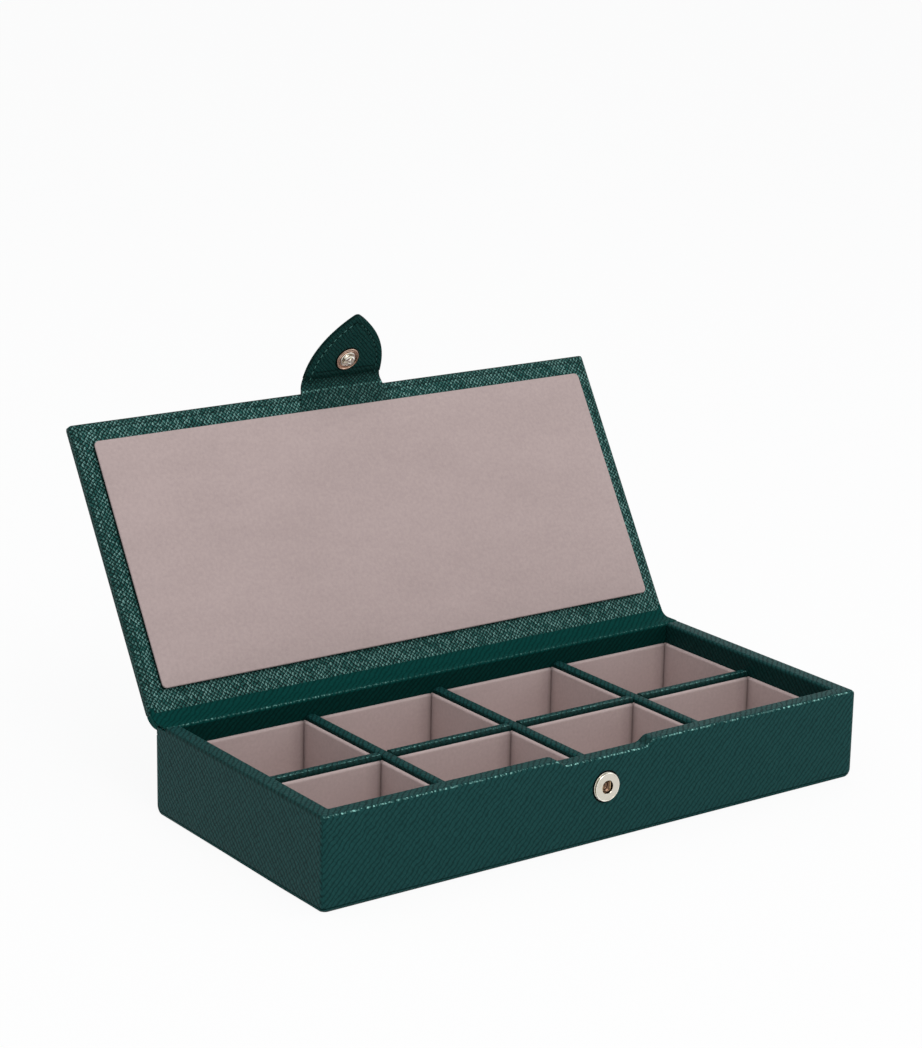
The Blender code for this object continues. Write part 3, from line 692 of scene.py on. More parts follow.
def buildLining(wrapNode, low, high):  # four cards that meet in the corners
    thick, top = linings["thickness"], high.z - linings["drop"]
    whole = bmesh.new()
    spanX, spanY = high.x - low.x, high.y - low.y
    middle = (low + high) / 2
    short = spanX - 2 * (thick + linings["seam"])
    for turn, length, depth in ((0, short, spanY), (1, spanY, spanX), (2, short, spanY), (3, spanY, spanX)):
        card = rectBox((-length / 2, -depth / 2, low.z), (length / 2, -depth / 2 + thick, top))
        inner = -depth / 2 + thick / 2
        topEdges = [
            e for e in card.edges
            if all(v.co.z > top - tiny for v in e.verts) and min(v.co.y for v in e.verts) > inner
        ]
        bevel(card, topEdges, linings["topRound"], 6)
        uprights = [
            e for e in card.edges
            if abs(e.verts[0].co.z - e.verts[1].co.z) > 0.005 and all(v.co.y > inner for v in e.verts)
        ]
        bevel(card, uprights, linings["cornerRound"], 3)
        shadeSeam(card, length / 2, linings["longShade"] if turn % 2 else linings["shortShade"])
        move(card, Matrix.Translation((middle.x, middle.y, 0)) @ Matrix.Rotation(turn * pi / 2, 4, "Z"))
        mergeInto(whole, card)
    name = wrapNode.replace("lining", "liningCards")
    thing = finishPiece(whole, name, "liningSuede", "case", [wrapNode])


def shadeSeam(card, half, steps):  # painted shade: the suede is drawn dark where two cards meet
    for reach, shade in steps:
        if reach:
            cutAt(card, 0, half - reach, reach - half)
    seam = card.verts.layers.float.new("seam")
    for vert in card.verts:
        inset = half - abs(vert.co.x) + 1e-7
        before = [step for step in steps if step[0] <= inset]
        after = [step for step in steps if step[0] > inset]
        if before and after:
            (near, nearShade), (far, farShade) = before[-1], after[0]
            share = (half - abs(vert.co.x) - near) / (far - near)
            vert[seam] = nearShade * (1 - share) + farShade * share
        elif after:
            vert[seam] = after[0][1]


def buildFloorPad(padNode, low, high):
    inset = linings["thickness"] + floorPad["gap"]
    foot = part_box(padNode)[0].z
    soft = crownedBox(
        (low.x + inset, low.y + inset, foot), (high.x - inset, high.y - inset, foot + floorPad["height"]),
        floorPad["corner"], floorPad["edge"], floorPad["crown"], floorPad["cells"], 1,
    )
    name = padNode.replace("floor_pad", "floorPad")
    thing = finishPiece(soft, name, "liningSuede", "case", [padNode], weighted=False, sharp=50)


lid = {
    "front": 0.1021, "setback": 0.0015, "halfWidth": 0.1075, "thickness": 0.0036,
    "roll": 0.00045, "rollWidth": 0.0025,
    "crease": 0.00014, "creaseHalf": 0.0002, "mitre": 0.0002, "mitreHalf": 0.00035, "cornerReach": 0.0095,
    "bandShade": 0.32, "outerShade": 0.85, "outerBand": 0.00063, "creaseShade": 1.1, "rimShade": 1.5,
    "rimLine": 0.0026, "sideShade": 0.55, "sideCalm": 0.6, "padShade": 1.5, "padShadeInset": 0.00015,
    "outsideCalm": 0.85, "foldCrease": 0.0005, "foldShade": 1.3,
}
pad = {
    "side": 0.0063, "front": 0.0072, "hinge": 0.0076, "height": 0.0020, "corner": 0.0017, "edge": 0.0004,
    "under": 0.0004, "crown": 0.0003, "gap": 0.0011, "gapDepth": 0.0012, "seat": 0.0001, "cells": (24, 11),
}


def rollBorder(bm):  # the border rolls over the edge, with a crease inside it and a mitre in each corner
    front, back, side = -lid["front"], -lid["setback"], lid["halfWidth"]
    width, fine, half, reach = lid["rollWidth"], lid["creaseHalf"], lid["mitreHalf"], lid["cornerReach"]
    for inset in (width * 0.25, width * 0.5, width * 0.75, width - fine, width, width + fine, reach):
        cutAt(bm, 0, side - inset, inset - side)
        cutAt(bm, 1, front + inset)
    cutAt(bm, 1, back - reach)
    corners = []
    for mirror in (1, -1):
        inner = mirror * (side - pad["side"])
        corners.append((Vector((mirror * side, front, 0)), Vector((inner, front + pad["front"], 0))))
        corners.append((Vector((mirror * side, back, 0)), Vector((inner, back - pad["hinge"], 0))))
    for corner, inner in corners:
        run = (inner - corner).normalized()
        across = Vector((-run.y, run.x, 0))
        for offset in (-half, 0.0, half):
            near = [
                f for f in bm.faces
                if f.normal.z < -0.5 and (f.calc_center_median() - corner).xy.length < reach * 1.3
            ]
            cut(bm, corner + across * offset, across, near)
    for vert in bm.verts:
        spot = vert.co.copy()
        fade = 1 - spot.z / (lid["thickness"] / 2)
        if fade <= 0:
            continue
        depth = min(side - abs(spot.x), spot.y - front)
        rolled = lid["roll"] * max(0.0, 1 - depth / width) ** 2
        sink = rolled + lid["crease"] * max(0.0, 1 - abs(depth - width) / fine)
        for corner, inner in corners:
            run = inner - corner
            along = (spot - corner).dot(run) / run.length_squared
            off = (spot - corner - run * along).xy.length
            if off < half * 0.5 and 0.1 < along < 1.1:
                sink = max(sink, lid["mitre"])
        vert.co.z += sink * min(1.0, fade)


# painted shade on the border's bands, crease and fold, beside the pad and on the edges; calm thins the
# painted highlights on the outer face and sides
def markLid(bm):
    sideIn, frontIn, backIn = (pad[name] + lid["padShadeInset"] for name in ("side", "front", "hinge"))
    x, front, back = lid["halfWidth"] - sideIn, -lid["front"] + frontIn, -lid["setback"] - backIn
    fold = -lid["setback"] - lid["foldCrease"]
    cutAt(bm, 0, x, -x)
    cutAt(bm, 1, front, back, fold)
    cutAt(bm, 2, lid["rimLine"])

    def marks(face, corner):
        spot, normal = face.calc_center_median(), face.normal
        depth = min(lid["halfWidth"] - abs(spot.x), spot.y + lid["front"])
        shade = 0.0
        if normal.z < -0.7:
            if abs(spot.x) < x and front < spot.y < back:
                shade = lid["padShade"]
            elif spot.y > fold:
                shade = lid["foldShade"]
            elif abs(depth - lid["rollWidth"]) < lid["creaseHalf"]:
                shade = lid["creaseShade"]
            elif depth < lid["rollWidth"]:
                shade = lid["outerShade"] if depth < lid["outerBand"] else lid["bandShade"]
        elif normal.z < 0.95:
            shade = lid["rimShade"] if spot.z > lid["rimLine"] or normal.y < -0.5 else lid["sideShade"]
        return shade, lid["outsideCalm"] if normal.z > 0.3 else lid["sideCalm"] if normal.z > -0.7 else 0.0

    paint(bm, ("deep", "calm"), marks)


def buildLid():
    wrap = cadCopy("lid_leather")
    move(wrap, lidPose.inverted())
    squareCorners(wrap, lid["halfWidth"], -lid["front"], -lid["setback"])
    wrap.normal_update()
    rollBorder(wrap)
    markLid(wrap)
    move(wrap, lidPose)
    flattenGrain(wrap, lidPose)
    finishPiece(wrap, "lidWrap", "lidLeather", "lid", ["lid_leather"])
    halfWidth = lid["halfWidth"] - pad["side"]
    low = (-halfWidth, -lid["front"] + pad["front"], -pad["height"])
    high = (halfWidth, -lid["setback"] - pad["hinge"], -pad["gap"])
    soft = crownedBox(low, high, pad["corner"], pad["edge"], pad["crown"], pad["cells"], -1, pad["under"])
    under = [f for f in soft.faces if f.normal.z > 0.99 and abs(f.calc_center_median().z - high[2]) < tiny]
    insetFaces(soft, under, pad["gapDepth"])
    grown = bmesh.ops.extrude_face_region(soft, geom=under)["geom"]
    bmesh.ops.delete(soft, geom=under, context="FACES")
    seated = [g for g in grown if isinstance(g, bmesh.types.BMVert)]
    bmesh.ops.translate(soft, vec=(0, 0, pad["gap"] - pad["seat"]), verts=seated)
    move(soft, lidPose)
    thing = finishPiece(
        soft, "lidPadSuede", "lidSuede", "lid", ["lid_pad"], weighted=False, sharp=50
    )
    print("lid and pad dressed")


def ribbon(path, halfWidthAt, columns=1, shiftAt=lambda index: 0.0, turnOver=False, stretch=1.0):
    bm = bmesh.new()
    layer = bm.loops.layers.uv.new("grain")
    shares = [2 * step / columns - 1 for step in range(columns + 1)]
    first = [bm.verts.new((share * halfWidthAt(0) + shiftAt(0), *path[0])) for share in shares]
    edges = [bm.edges.new(pair) for pair in zip(first, first[1:])]
    reach = {vert: 0.0 for vert in first}
    run = 0.0
    for index in range(1, len(path)):
        half, shift = halfWidthAt(index - 1), shiftAt(index - 1)
        grown = bmesh.ops.extrude_edge_only(bm, edges=edges)["geom"]
        edges = [g for g in grown if isinstance(g, bmesh.types.BMEdge)]
        run += (Vector(path[index]) - Vector(path[index - 1])).length
        for vert in {v for e in edges for v in e.verts}:
            share = min(shares, key=lambda s: abs(s * half + shift - vert.co.x))
            vert.co = (share * halfWidthAt(index) + shiftAt(index), *path[index])
            reach[vert] = run
    for face in bm.faces:
        for loop in face.loops:
            loop[layer].uv = (loop.vert.co.x, reach[loop.vert] * stretch)
    if turnOver:
        bmesh.ops.reverse_faces(bm, faces=bm.faces)
    return bm


def bend(start, corner, end, steps):
    shares = [step / steps for step in range(steps + 1)]
    return [
        tuple(a * (1 - s) ** 2 + b * 2 * s * (1 - s) + c * s * s for a, b, c in zip(start, corner, end))
        for s in shares
    ]


def quarterTurn(centre, radius, start, end, steps):
    angles = [start + (end - start) * step / steps for step in range(steps + 1)]
    return [(centre[0] + radius * cos(a), centre[1] + radius * sin(a)) for a in angles]


sheets = {
    "reach": 0.1070, "insideReach": 0.1018, "stripThickness": 0.0007, "stripColumns": 24,
    "spineThickness": 0.0009,
    "stripInside": 0.04395, "stripFoot": 0.0160, "stripKnee": 0.024, "rimTop": 0.03065, "rimRadius": 0.0007,
    "rimMiddle": 0.0470, "rimOuter": 0.0486, "dip": (0.0004, -0.0001), "lap": 0.0002, "stripLevel": 0.00035,
    "tuck": 0.0024, "tuckInner": 0.00045, "tuckOuter": 0.00055, "spineLevel": 0.00045, "spineFace": 0.04905,
    "spineFoot": 0.0273, "spineKnee": 0.0290, "sag": (0.0006, -0.0012), "spineStretch": 2.4,
    "endInset": 0.0005, "endBulge": 0.0004, "endThickness": 0.0006,
    "glintLeft": 0.50, "glintRight": 0.22, "glintTurn": -0.02, "glintBack": 0.0475,
}


def lidSpot(y, z):
    spot = lidPose @ Vector((0, y, z))
    return (spot.y, spot.z)


def between(first, second, shift=(0.0, 0.0)):
    return tuple((a + b) / 2 + more for a, b, more in zip(first, second, shift))


def buildHinge():
    top, inside, radius = sheets["rimTop"], sheets["stripInside"], sheets["rimRadius"]
    lap, tuck = -lid["setback"] + sheets["lap"], -lid["setback"] - sheets["tuck"]
    leave = (sheets["rimOuter"], top)
    stripEnd = lidSpot(lap, sheets["stripLevel"])
    dip = ((leave[0] + stripEnd[0]) / 2 + sheets["dip"][0], leave[1] + sheets["dip"][1])
    inner = [*bend(leave, dip, stripEnd, 8), lidSpot(tuck, sheets["tuckInner"])]
    over = quarterTurn((inside + radius, top - radius), radius, pi, pi / 2, 6)
    down = [(inside, sheets["stripFoot"]), (inside, sheets["stripKnee"])]
    strip = ribbon(
        [*down, *over, (sheets["rimMiddle"], top), *inner],
        lambda index: sheets["reach"] if index > 3 else sheets["insideReach"],
        sheets["stripColumns"], turnOver=True,
    )

    # painted highlights along the strip's bend over the rim, brighter on the left; the faces inside the rim
    # get painted shade
    def glintAt(spot):
        strength = "glintLeft" if spot.x < sheets["glintTurn"] else "glintRight"
        return sheets[strength] if spot.y < sheets["glintBack"] else 0.0

    markFaces(strip, glintAt, lambda face: face.calc_center_median().z < top - radius)
    made = finishPiece(
        strip, "hingeStripInner", "hingeLeather", None, ["hinge_strip"], weighted=False,
        modifiers=[thickened(sheets["stripThickness"])],
    )
    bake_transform(made)
    foot, knee = ((sheets["spineFace"], sheets[name]) for name in ("spineFoot", "spineKnee"))
    spineEnd = lidSpot(lap, lid["thickness"] - sheets["spineLevel"])
    sag = between(knee, spineEnd, sheets["sag"])
    outer = [*bend(knee, sag, spineEnd, 8), lidSpot(tuck, lid["thickness"] - sheets["tuckOuter"])]
    spine = ribbon([foot, *outer], lambda index: sheets["reach"], stretch=sheets["spineStretch"])
    made = finishPiece(
        spine, "hingeSpineOuter", "hingeLeather", None, ["hinge_spine"], weighted=False,
        modifiers=[thickened(sheets["spineThickness"])],
    )
    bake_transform(made)
    middle = [between(leave, knee), between(stripEnd, spineEnd)]
    for name, mirror in (("hingeEndLeft", -1), ("hingeEndRight", 1)):
        made = closeEnd(name, mirror, inner, outer)
        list(middle[0])
        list(middle[1])
        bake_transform(made)
    print("hinge leathers bent")


def closeEnd(name, mirror, inner, outer):  # the leather that closes the hinge at its end
    bm = bmesh.new()
    reach = sheets["reach"] - sheets["endInset"]
    for chain in (inner, outer):
        points = [bm.verts.new((mirror * reach, *spot)) for spot in chain]
        for pair in zip(points, points[1:]):
            bm.edges.new(pair)
    sides = bm.edges[:]
    bmesh.ops.bridge_loops(bm, edges=sides)
    rungs = [e for e in bm.edges if e not in sides]
    kept = set(bm.verts)
    bmesh.ops.subdivide_edges(bm, edges=rungs, cuts=3, use_grid_fill=True)
    for vert in bm.verts:
        if vert not in kept:
            vert.co.x += mirror * sheets["endBulge"]
    bmesh.ops.recalc_face_normals(bm, faces=bm.faces)
    bm.normal_update()
    if sum(f.normal.x for f in bm.faces) * mirror < 0:
        bmesh.ops.reverse_faces(bm, faces=bm.faces)
    flattenGrain(bm)
    return finishPiece(
        bm, name, "hingeLeather", None, weighted=False,
        modifiers=[thickened(sheets["endThickness"])],
    )


tab = {
    "rootWidth": 0.0374, "rootShift": -0.0007, "width": 0.0316, "columns": 14, "neck": 0.0009,
    "neckMid": 0.00075, "neckRound": 0.0002, "root": 0.0098, "onPad": (-0.0020, 0.0, 0.0024, 0.0048),
    "turn": 0.0020, "past": 0.0006, "foldY": -0.1051, "foldZ": -0.00075, "lipHalf": 0.0005,
    "lipGlint": 0.9, "strapShade": 0.62, "strapCalm": 0.35,
    "beyondShade": 0.8, "beyondCalm": 0.75, "shade": 1.1, "shadeRun": 0.0030, "sideShade": 1.2,
    "skiveFrom": 0.0168, "skive": 0.0014, "skiveLift": 0.0001, "skiveShare": 0.62, "skiveTop": 0.0003,
}
leaf = {
    "ply": 0.0007, "gap": 0.0003, "rim": 0.00022, "puff": 0.00012, "puffInset": 0.0009, "groove": 0.00026,
    "grooveHalf": 0.0003, "merge": 0.00012, "tidy": 0.00035, "valley": (0.0012, 0.0034), "valleyShade": 1.1,
    "edgeShade": 1.25,
}
seam = {
    "inset": 0.0023, "pitch": 0.0024, "length": 0.0017, "width": 0.00046, "thickness": 0.8, "level": 0.00078,
    "start": 0.6, "holeWidth": 0.00044, "holeLevel": 0.00061, "holeStart": 0.1, "dull": 0.92,
}


def buildTab():
    fold = (tab["foldY"], tab["foldZ"])
    front, padEdge, lip = lid["front"], lid["front"] - pad["front"], tab["lipHalf"]
    past = tab["turn"] + tab["past"]
    start = (fold[0] + tab["turn"], fold[1])
    end = (fold[0] - past * cos(leafFrame["foldAngle"]), fold[1] - past * sin(leafFrame["foldAngle"]))
    reaches = [padEdge - tab["root"], *(padEdge + step for step in tab["onPad"])]
    reaches += [front - lip, front, front + lip]
    path = [(-reach, -tab["neckMid"]) for reach in reaches] + bend(start, fold, end, 10)
    span = -end[0] - padEdge

    def halfWidthAt(index):
        beyond = max(0.0, -path[index][0] - padEdge)
        return (tab["rootWidth"] + (tab["width"] - tab["rootWidth"]) * beyond / span) / 2

    def shiftAt(index):
        return tab["rootShift"] * (halfWidthAt(index) * 2 - tab["width"]) / (tab["rootWidth"] - tab["width"])

    # painted highlight along the lid's lip, painted shade over the strap, darker past the lip toward the
    # fold; calm thins the painted highlights
    def marks(face, spot):
        beyond = -spot.y - front
        onLip = max(0.0, 1.0 - abs(beyond) / lip)
        calm, shade = tab["strapCalm"], tab["strapShade"]
        if beyond >= 0:
            calm = tab["beyondCalm"]
            shade = max(tab["beyondShade"], tab["shade"] * min(1.0, beyond / tab["shadeRun"]))
        return onLip * tab["lipGlint"], shade * (1.0 - onLip), calm

    neck = ribbon(path, halfWidthAt, tab["columns"], shiftAt)
    paint(neck, ("edge", "deep", "calm"), marks)
    rounded = {"width": tab["neckRound"], "segments": 2, "limit_method": "ANGLE", "angle_limit": radians(60)}
    made = finishPiece(
        neck, "tabStrap", "lidLeather", None, ["tab_neck"], weighted=False,
        modifiers=[thickened(tab["neck"]), ("BEVEL", rounded)],
    )
    skiveSides(made)
    made.data.transform(lidPose)
    darkenSides(made)
    startSpot, endSpot = lidPose @ Vector((0, *start)), lidPose @ Vector((0, *end))
    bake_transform(made)
    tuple(startSpot)
    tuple(endSpot)
    for name, label, facing in (("outerPly", "tab_outer_ply", 1), ("innerPly", "tab_inner_ply", -1)):
        ply = cadCopy("tab_outer_ply", flatten=True)
        bmesh.ops.remove_doubles(ply, verts=ply.verts, dist=leaf["merge"])
        faces = sorted(ply.faces, key=lambda f: f.calc_area())[-2:]
        bevel(ply, list({e for f in faces for e in f.edges}), leaf["rim"], 3)
        sinkSeam(ply, leafOutward * facing)
        shadeValley(ply)
        if facing < 0:
            bmesh.ops.translate(ply, vec=leafOutward * -(leaf["ply"] + leaf["gap"]), verts=ply.verts)
        flattenGrain(ply, leafPose)
        finishPiece(ply, name, "leafLeather", "tab", [label])
    print("tab strap and plies made")


def skiveSides(thing):  # the glued sides are pared thin, so that they clear the relief in the front wall
    for vert in thing.data.vertices:
        share = min(1.0, max(0.0, (abs(vert.co.x) - tab["skiveFrom"]) / tab["skive"]))
        if vert.co.y > -lid["front"]:
            vert.co.z += share * (tab["skiveLift"] - tab["skiveShare"] * (vert.co.z + tab["skiveTop"]))


def darkenSides(thing):  # painted shade on the strap's cut sides
    deep = thing.data.attributes["deep"].data
    for face in thing.data.polygons:
        if abs(face.normal.x) > 0.7:
            for loop in face.loop_indices:
                deep[loop].value = tab["sideShade"]


def sinkSeam(ply, outward):  # a puffed border and the groove that the stitches lie in
    reached, height = leaf["rim"], 0.0
    for inset, lift in (
        (leaf["puffInset"], leaf["puff"]), (seam["inset"] - leaf["grooveHalf"], 0.0),
        (seam["inset"], -leaf["groove"]), (seam["inset"] + leaf["grooveHalf"], 0.0),
    ):
        insetFaces(ply, [topFace(ply, outward)], inset - reached)
        verts = topFace(ply, outward).verts[:]
        bmesh.ops.translate(ply, vec=outward * (lift - height), verts=verts)
        bmesh.ops.remove_doubles(ply, verts=verts, dist=leaf["tidy"])
        reached, height = inset, lift


def topFace(bm, outward):
    bm.normal_update()
    return max((f for f in bm.faces if f.normal.dot(outward) > 0.9), key=lambda f: f.calc_area())


def shadeValley(ply):  # painted shade: the leaf is darkest beside its fold and on its cut edge
    back = leafPose.inverted()
    root = max((back @ v.co).y for v in ply.verts)
    near, far = leaf["valley"]
    for reach in leaf["valley"]:
        cut(ply, leafPose @ Vector((0, root - reach, 0)), leafPose.to_3x3() @ Vector((0, 1, 0)))

    def marks(face, spot):
        least = leaf["edgeShade"] if abs(face.normal.dot(leafOutward)) < 0.8 else 0.0
        beyond = root - (back @ spot).y
        return [max(least, leaf["valleyShade"] * max(0.0, min(1.0, (far - beyond) / (far - near))))]

    paint(ply, ["deep"], marks)


turning = {
    "steps": 72, "sharp": 32, "slits": 4, "slitHalf": radians(6), "slitDepth": 0.00045, "slitFrom": 0.0009,
    "slitAbove": 0.0013,
}


def turnedPiece(name, look, body, slot, standsFor, pose, profile, slits=0):  # the profile is in millimetres
    bm = bmesh.new()
    points = [bm.verts.new((radius * millimetre, 0, height * millimetre)) for radius, height in profile]
    edges = [bm.edges.new(pair) for pair in zip(points, points[1:])]
    if profile[0][0] > 0 or profile[-1][0] > 0:
        edges.append(bm.edges.new((points[-1], points[0])))
    bmesh.ops.spin(
        bm, geom=points + edges, cent=(0, 0, 0), axis=(0, 0, 1), angle=2 * pi, steps=turning["steps"],
        use_merge=True, use_duplicate=False,
    )
    bmesh.ops.remove_doubles(bm, verts=bm.verts, dist=tiny)
    bmesh.ops.recalc_face_normals(bm, faces=bm.faces)
    for vert in bm.verts if slits else ():  # the sprung head is split
        turn = atan2(vert.co.y, vert.co.x) % (2 * pi / slits)
        near = min(turn, 2 * pi / slits - turn) < turning["slitHalf"]
        if near and vert.co.xy.length > turning["slitFrom"] and vert.co.z > turning["slitAbove"]:
            vert.co.z -= turning["slitDepth"]
    move(bm, pose)
    finishPiece(bm, name, look, body, standsFor, sharp=turning["sharp"])


socket = {
    "height": 0.0186,
    "ring": [
        (4.35, 0.02), (4.35, 0.07), (4.70, 0.08), (4.81, 0.13), (4.84, 0.20), (4.79, 0.28), (4.62, 0.32),
        (4.15, 0.34), (4.10, 0.40), (4.10, 0.68), (4.50, 0.72), (4.68, 0.78), (4.76, 0.88), (4.74, 1.00),
        (4.64, 1.08), (4.52, 1.09), (4.42, 1.03), (4.38, 0.92), (3.2, 0.92), (3.2, -1.05), (2.9, -1.05),
        (2.9, 0.02),
    ],
    "face": [
        (4.37, 0.93), (4.37, 0.99), (4.28, 1.03), (3.3, 1.01), (2.85, 1.02), (2.62, 1.08), (2.46, 1.10),
        (2.30, 1.05), (2.21, 0.94), (2.20, 0.82), (2.30, 0.70), (2.75, 0.68), (2.85, 0.80), (2.9, 0.93),
    ],
    "cup": [
        (2.6, -0.3), (2.6, -1.35), (4.6, -1.35), (4.6, -1.75), (2.6, -1.75), (2.6, -2.5), (0, -2.5),
        (0, -1.45), (0.6, -1.5), (1.1, -1.35), (1.35, -1.12), (1.7, -1.2), (2.1, -1.0), (2.3, -0.7),
        (2.15, -0.45), (2.3, -0.3),
    ],
    # seat: a near-black ring that paints the shadow round the socket
    "seat": [(4.0, -0.10), (4.0, 0.03), (5.25, 0.04), (5.40, 0.02), (5.44, -0.10)],
}
stud = {
    "fromFold": 0.00935,
    "flange": [
        (4.38, 0.16), (4.36, 0.34), (4.24, 0.46), (4.06, 0.50), (3.92, 0.46), (3.80, 0.32), (3.72, 0.14),
        (3.56, 0.16), (3.40, 0.30), (3.28, 0.30), (3.18, 0.06), (0.75, 0.04), (0.75, 0.0), (4.30, 0.0),
    ],
    "head": [
        (0.76, 0.06), (2.80, 0.06), (2.92, 0.20), (2.90, 0.40), (2.76, 0.54), (2.50, 0.58), (2.20, 0.52),
        (1.90, 0.40), (1.20, 0.40), (1.20, 1.10), (1.80, 1.16), (2.08, 1.28), (2.16, 1.42), (2.14, 1.56),
        (2.00, 1.68), (1.60, 1.77), (1.00, 1.80), (0.82, 1.76), (0.76, 1.68),
    ],
    # seat: a near-black ring that paints the shadow round the stud
    "seat": [(3.9, -0.02), (3.9, 0.03), (4.62, 0.03), (4.80, 0.0), (4.85, -0.05)],
    "pin": [(0.0, 1.74), (0.45, 1.70), (0.66, 1.58), (0.66, -0.72), (4.4, -0.74), (4.4, -0.84), (0.0, -0.84)],
}


def buildSnap():
    facing = Matrix.Translation((0, -case["halfDepth"], socket["height"])) @ Matrix.Rotation(pi / 2, 4, "X")
    inFront = ("case", "socket_metal")
    turnedPiece("socketRing", "paleMetal", *inFront, ["socket_ring"], facing, socket["ring"])
    turnedPiece("socketFace", "shadedPaleMetal", *inFront, (), facing, socket["face"])
    turnedPiece("socketRivet", "shadedMetal", *inFront, ["socket_rivet"], facing, socket["cup"])
    # the near-black rings round the socket and the stud are a painted shadow under their rims
    turnedPiece("socketShadowRing", "holeShade", "case", "grained_leather", (), facing, socket["seat"])
    face = (2 * leaf["ply"] + leaf["gap"]) / 2
    post = leafPose @ Matrix.Translation((0, -stud["fromFold"], -face)) @ Matrix.Rotation(pi, 4, "X")
    onTab = ("tab", "stud_metal")
    turnedPiece("snapStud", "copperMetal", *onTab, ["snap_stud"], post, stud["flange"])
    turnedPiece("snapPost", "paleMetal", *onTab, (), post, stud["head"], turning["slits"])
    turnedPiece("studShadowRing", "holeShade", "tab", "grained_leather", (), post, stud["seat"])
    turnedPiece("studRivet", "paleMetal", *onTab, ["stud_rivet"], post, stud["pin"])
    print("press stud turned")


def seamLine():  # the right half of the leaf's outline, drawn in
    ply = cadCopy("tab_outer_ply", flatten=True)
    back = leafPose.inverted()
    outline = [(back @ v.co).xy for v in max(ply.faces, key=lambda f: f.calc_area()).verts]
    ply.free()
    side = sorted((p for p in outline if p.x >= -tiny), key=lambda p: -p.y)
    line = []
    for index, point in enumerate(side):
        before, after = side[max(index - 1, 0)], side[min(index + 1, len(side) - 1)]
        run = (after - before).normalized()
        inward = Vector((run.y, -run.x))
        if inward.x > 0:
            inward = -inward
        line.append(point + inward * seam["inset"])
    return [p for p in line if p.x > 0.0002]


def walk(path, pitch, offset):
    spots, left = [], offset
    for here, after in zip(path, path[1:]):
        step = after - here
        length = step.length
        while left < length:
            spots.append((here + step * (left / length), step.normalized()))
            left += pitch
        left -= length
    return spots


def bothSides(spots, level):  # each spot on the left and right, and on both faces of the leaf
    for mirror in (1, -1):
        for face in (1, -1):
            for spot, run in spots:
                yield mirror, run, leafPose @ Matrix.Translation((spot.x * mirror, spot.y, level * face))


def buildStitches():
    line = seamLine()
    spots = walk(line, seam["pitch"], seam["pitch"] * seam["start"])
    size = (seam["width"], seam["length"], seam["width"] * seam["thickness"])
    whole = bmesh.new()
    for mirror, run, place in bothSides(spots, seam["level"]):
        bead = bmesh.new()
        bmesh.ops.create_uvsphere(bead, u_segments=8, v_segments=6, radius=0.5)
        bmesh.ops.scale(bead, vec=size, verts=bead.verts)
        dull = seam["dull"] if mirror > 0 else 0.0  # the right seam is painted darker, as shade
        paint(bead, ["deep"], lambda face, spot: [dull])
        move(bead, place @ Matrix.Rotation(atan2(-run.x * mirror, run.y), 4, "Z"))
        mergeInto(whole, bead)
    finishPiece(whole, "leafStitches", "greenThread", "tab", weighted=False, sharp=80)
    # dark beads in holeShade: painted shade in the needle holes
    holes, hole = bmesh.new(), seam["holeWidth"] / 2
    gaps = walk(line, seam["pitch"], seam["pitch"] * seam["holeStart"])
    for mirror, run, place in bothSides(gaps, seam["holeLevel"]):
        bmesh.ops.create_uvsphere(holes, u_segments=8, v_segments=6, radius=hole, matrix=place)
    finishPiece(holes, "needleHoles", "holeShade", "tab", weighted=False, sharp=80)
    print("stitches sewn:", len(spots) * 4)


buildCase()
buildLinings()
buildLid()
buildHinge()
buildTab()
buildSnap()
buildStitches()


studio = {
    "azimuth": radians(-35.998), "elevation": radians(15.521), "roll": radians(1.075), "lens": 97.38,
    "distance": 0.9071, "aimX": -0.02298, "aimZ": 0.09699, "sensor": 36.0, "nearest": 0.01,
    "ambient": 0.64, "air": (0.95, 0.97, 1.0, 1),
    "floorRadius": 9.0, "floorColor": (0.90, 0.90, 0.90, 1), "floorGlow": 0.92, "lampAim": 0.05,
    "lamps": {  # place, width and power
        "keyBox": ((-0.25, -1.05, 1.25), 0.9, 8.0),
        "rightBox": ((1.20, -0.70, 0.75), 0.8, 1.5),
        "topBox": ((0.1, 0.2, 1.5), 1.0, 2.0),
    },
}
white = (1, 1, 1, 1)


def addObject(name, data):
    thing = bpy.data.objects.new(name, data)
    scene.collection.objects.link(thing)
    return thing


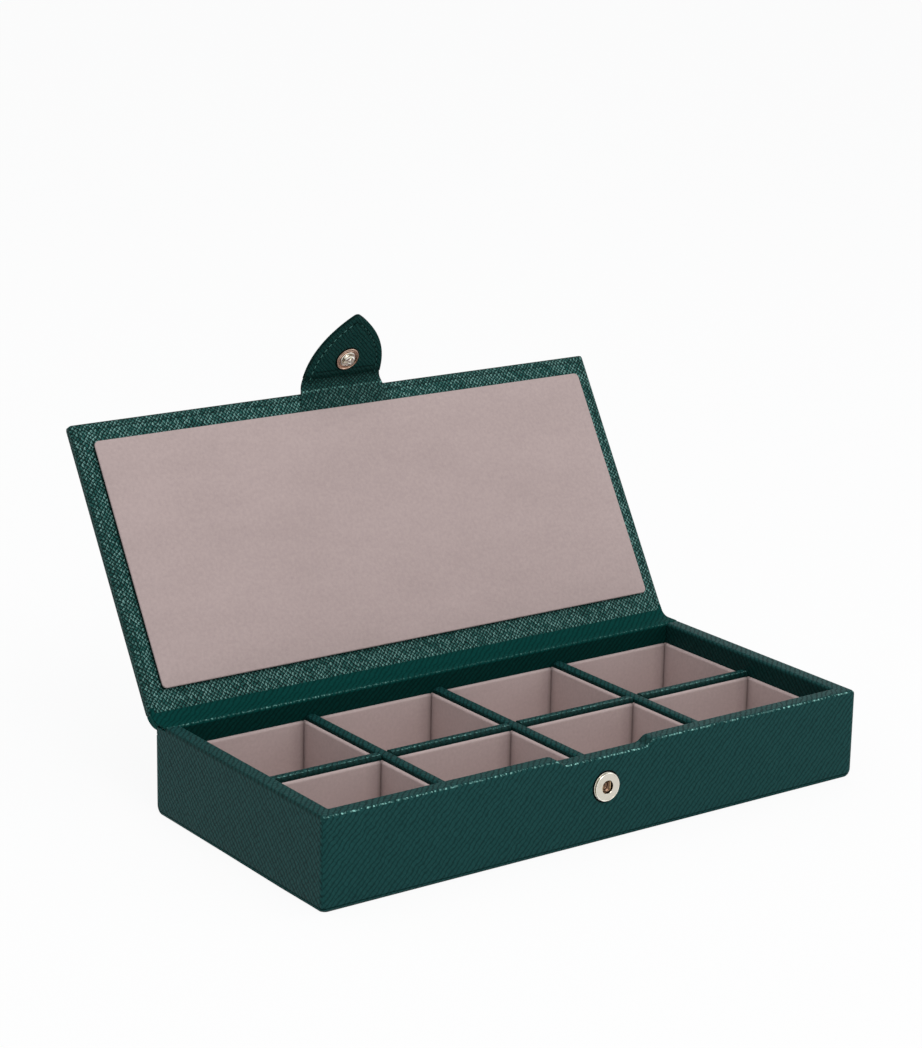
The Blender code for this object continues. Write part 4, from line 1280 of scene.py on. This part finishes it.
def buildCamera():
    a, e, roll = studio["azimuth"], studio["elevation"], studio["roll"]
    back = Vector((sin(a) * cos(e), -cos(a) * cos(e), sin(e)))
    right = Vector((cos(a), sin(a), 0))
    up = back.cross(right)
    turnedRight = right * cos(roll) + up * sin(roll)
    turnedUp = up * cos(roll) - right * sin(roll)
    data = bpy.data.cameras.new("camera")
    data.lens = studio["lens"]
    data.sensor_width = studio["sensor"]
    data.clip_start = studio["nearest"]
    thing = addObject("camera", data)
    spot = Vector((studio["aimX"], 0, studio["aimZ"])) + back * studio["distance"]
    basis = Matrix((turnedRight, turnedUp, back)).transposed().to_4x4()
    thing.matrix_world = Matrix.Translation(spot) @ basis
    scene.camera = thing


def rayShare(tree):  # what the camera, gloss and glass see directly
    ray = tree.nodes.new("ShaderNodeLightPath").outputs
    seen = math(tree, "MAXIMUM", ray["Is Camera Ray"], ray["Is Glossy Ray"])
    return math(tree, "MAXIMUM", seen, ray["Is Transmission Ray"])


def buildFloor():
    bm = bmesh.new()
    bmesh.ops.create_circle(bm, cap_ends=True, segments=48, radius=studio["floorRadius"])
    mesh = bpy.data.meshes.new("floor")
    bm.to_mesh(mesh)
    bm.free()
    floor = addObject("floor", mesh)
    made, tree, shader = emptyMaterial("paleFloor")
    feed(tree, shader, {"Base Color": studio["floorColor"], "Roughness": 1.0, "Specular IOR Level": 0.0})
    glow = node(tree, "ShaderNodeEmission", {"Color": white, "Strength": 1.0})
    share = times(tree, rayShare(tree), studio["floorGlow"])
    mixed = node(tree, "ShaderNodeMixShader", {0: share, 1: shader.outputs[0], 2: glow.outputs[0]})
    feed(tree, tree.nodes["Material Output"], {0: mixed.outputs[0]})
    mesh.materials.append(made)


def buildAir():
    world = bpy.data.worlds.new("studioAir")
    scene.world = world
    world.use_nodes = True
    air = world.node_tree
    air.nodes.clear()
    dim, bright = (
        node(air, "ShaderNodeBackground", {"Color": color, "Strength": strength}).outputs[0]
        for color, strength in ((studio["air"], studio["ambient"]), (white, 1.0))
    )
    both = node(air, "ShaderNodeMixShader", {0: rayShare(air), 1: dim, 2: bright})
    node(air, "ShaderNodeOutputWorld", {0: both.outputs[0]})


def buildLamps():
    for name, (spot, size, power) in studio["lamps"].items():
        data = bpy.data.lights.new(name, "AREA")
        data.shape = "DISK"
        data.size = size
        data.energy = power
        lamp = addObject(name, data)
        lamp.location = spot
        lamp.rotation_mode = "QUATERNION"
        lamp.rotation_quaternion = (Vector(spot) - Vector((0, 0, studio["lampAim"]))).to_track_quat("Z", "Y")


buildCamera()
buildFloor()
buildAir()
buildLamps()
scene.view_settings.view_transform = "Standard"
print("camera, floor and lamps set")
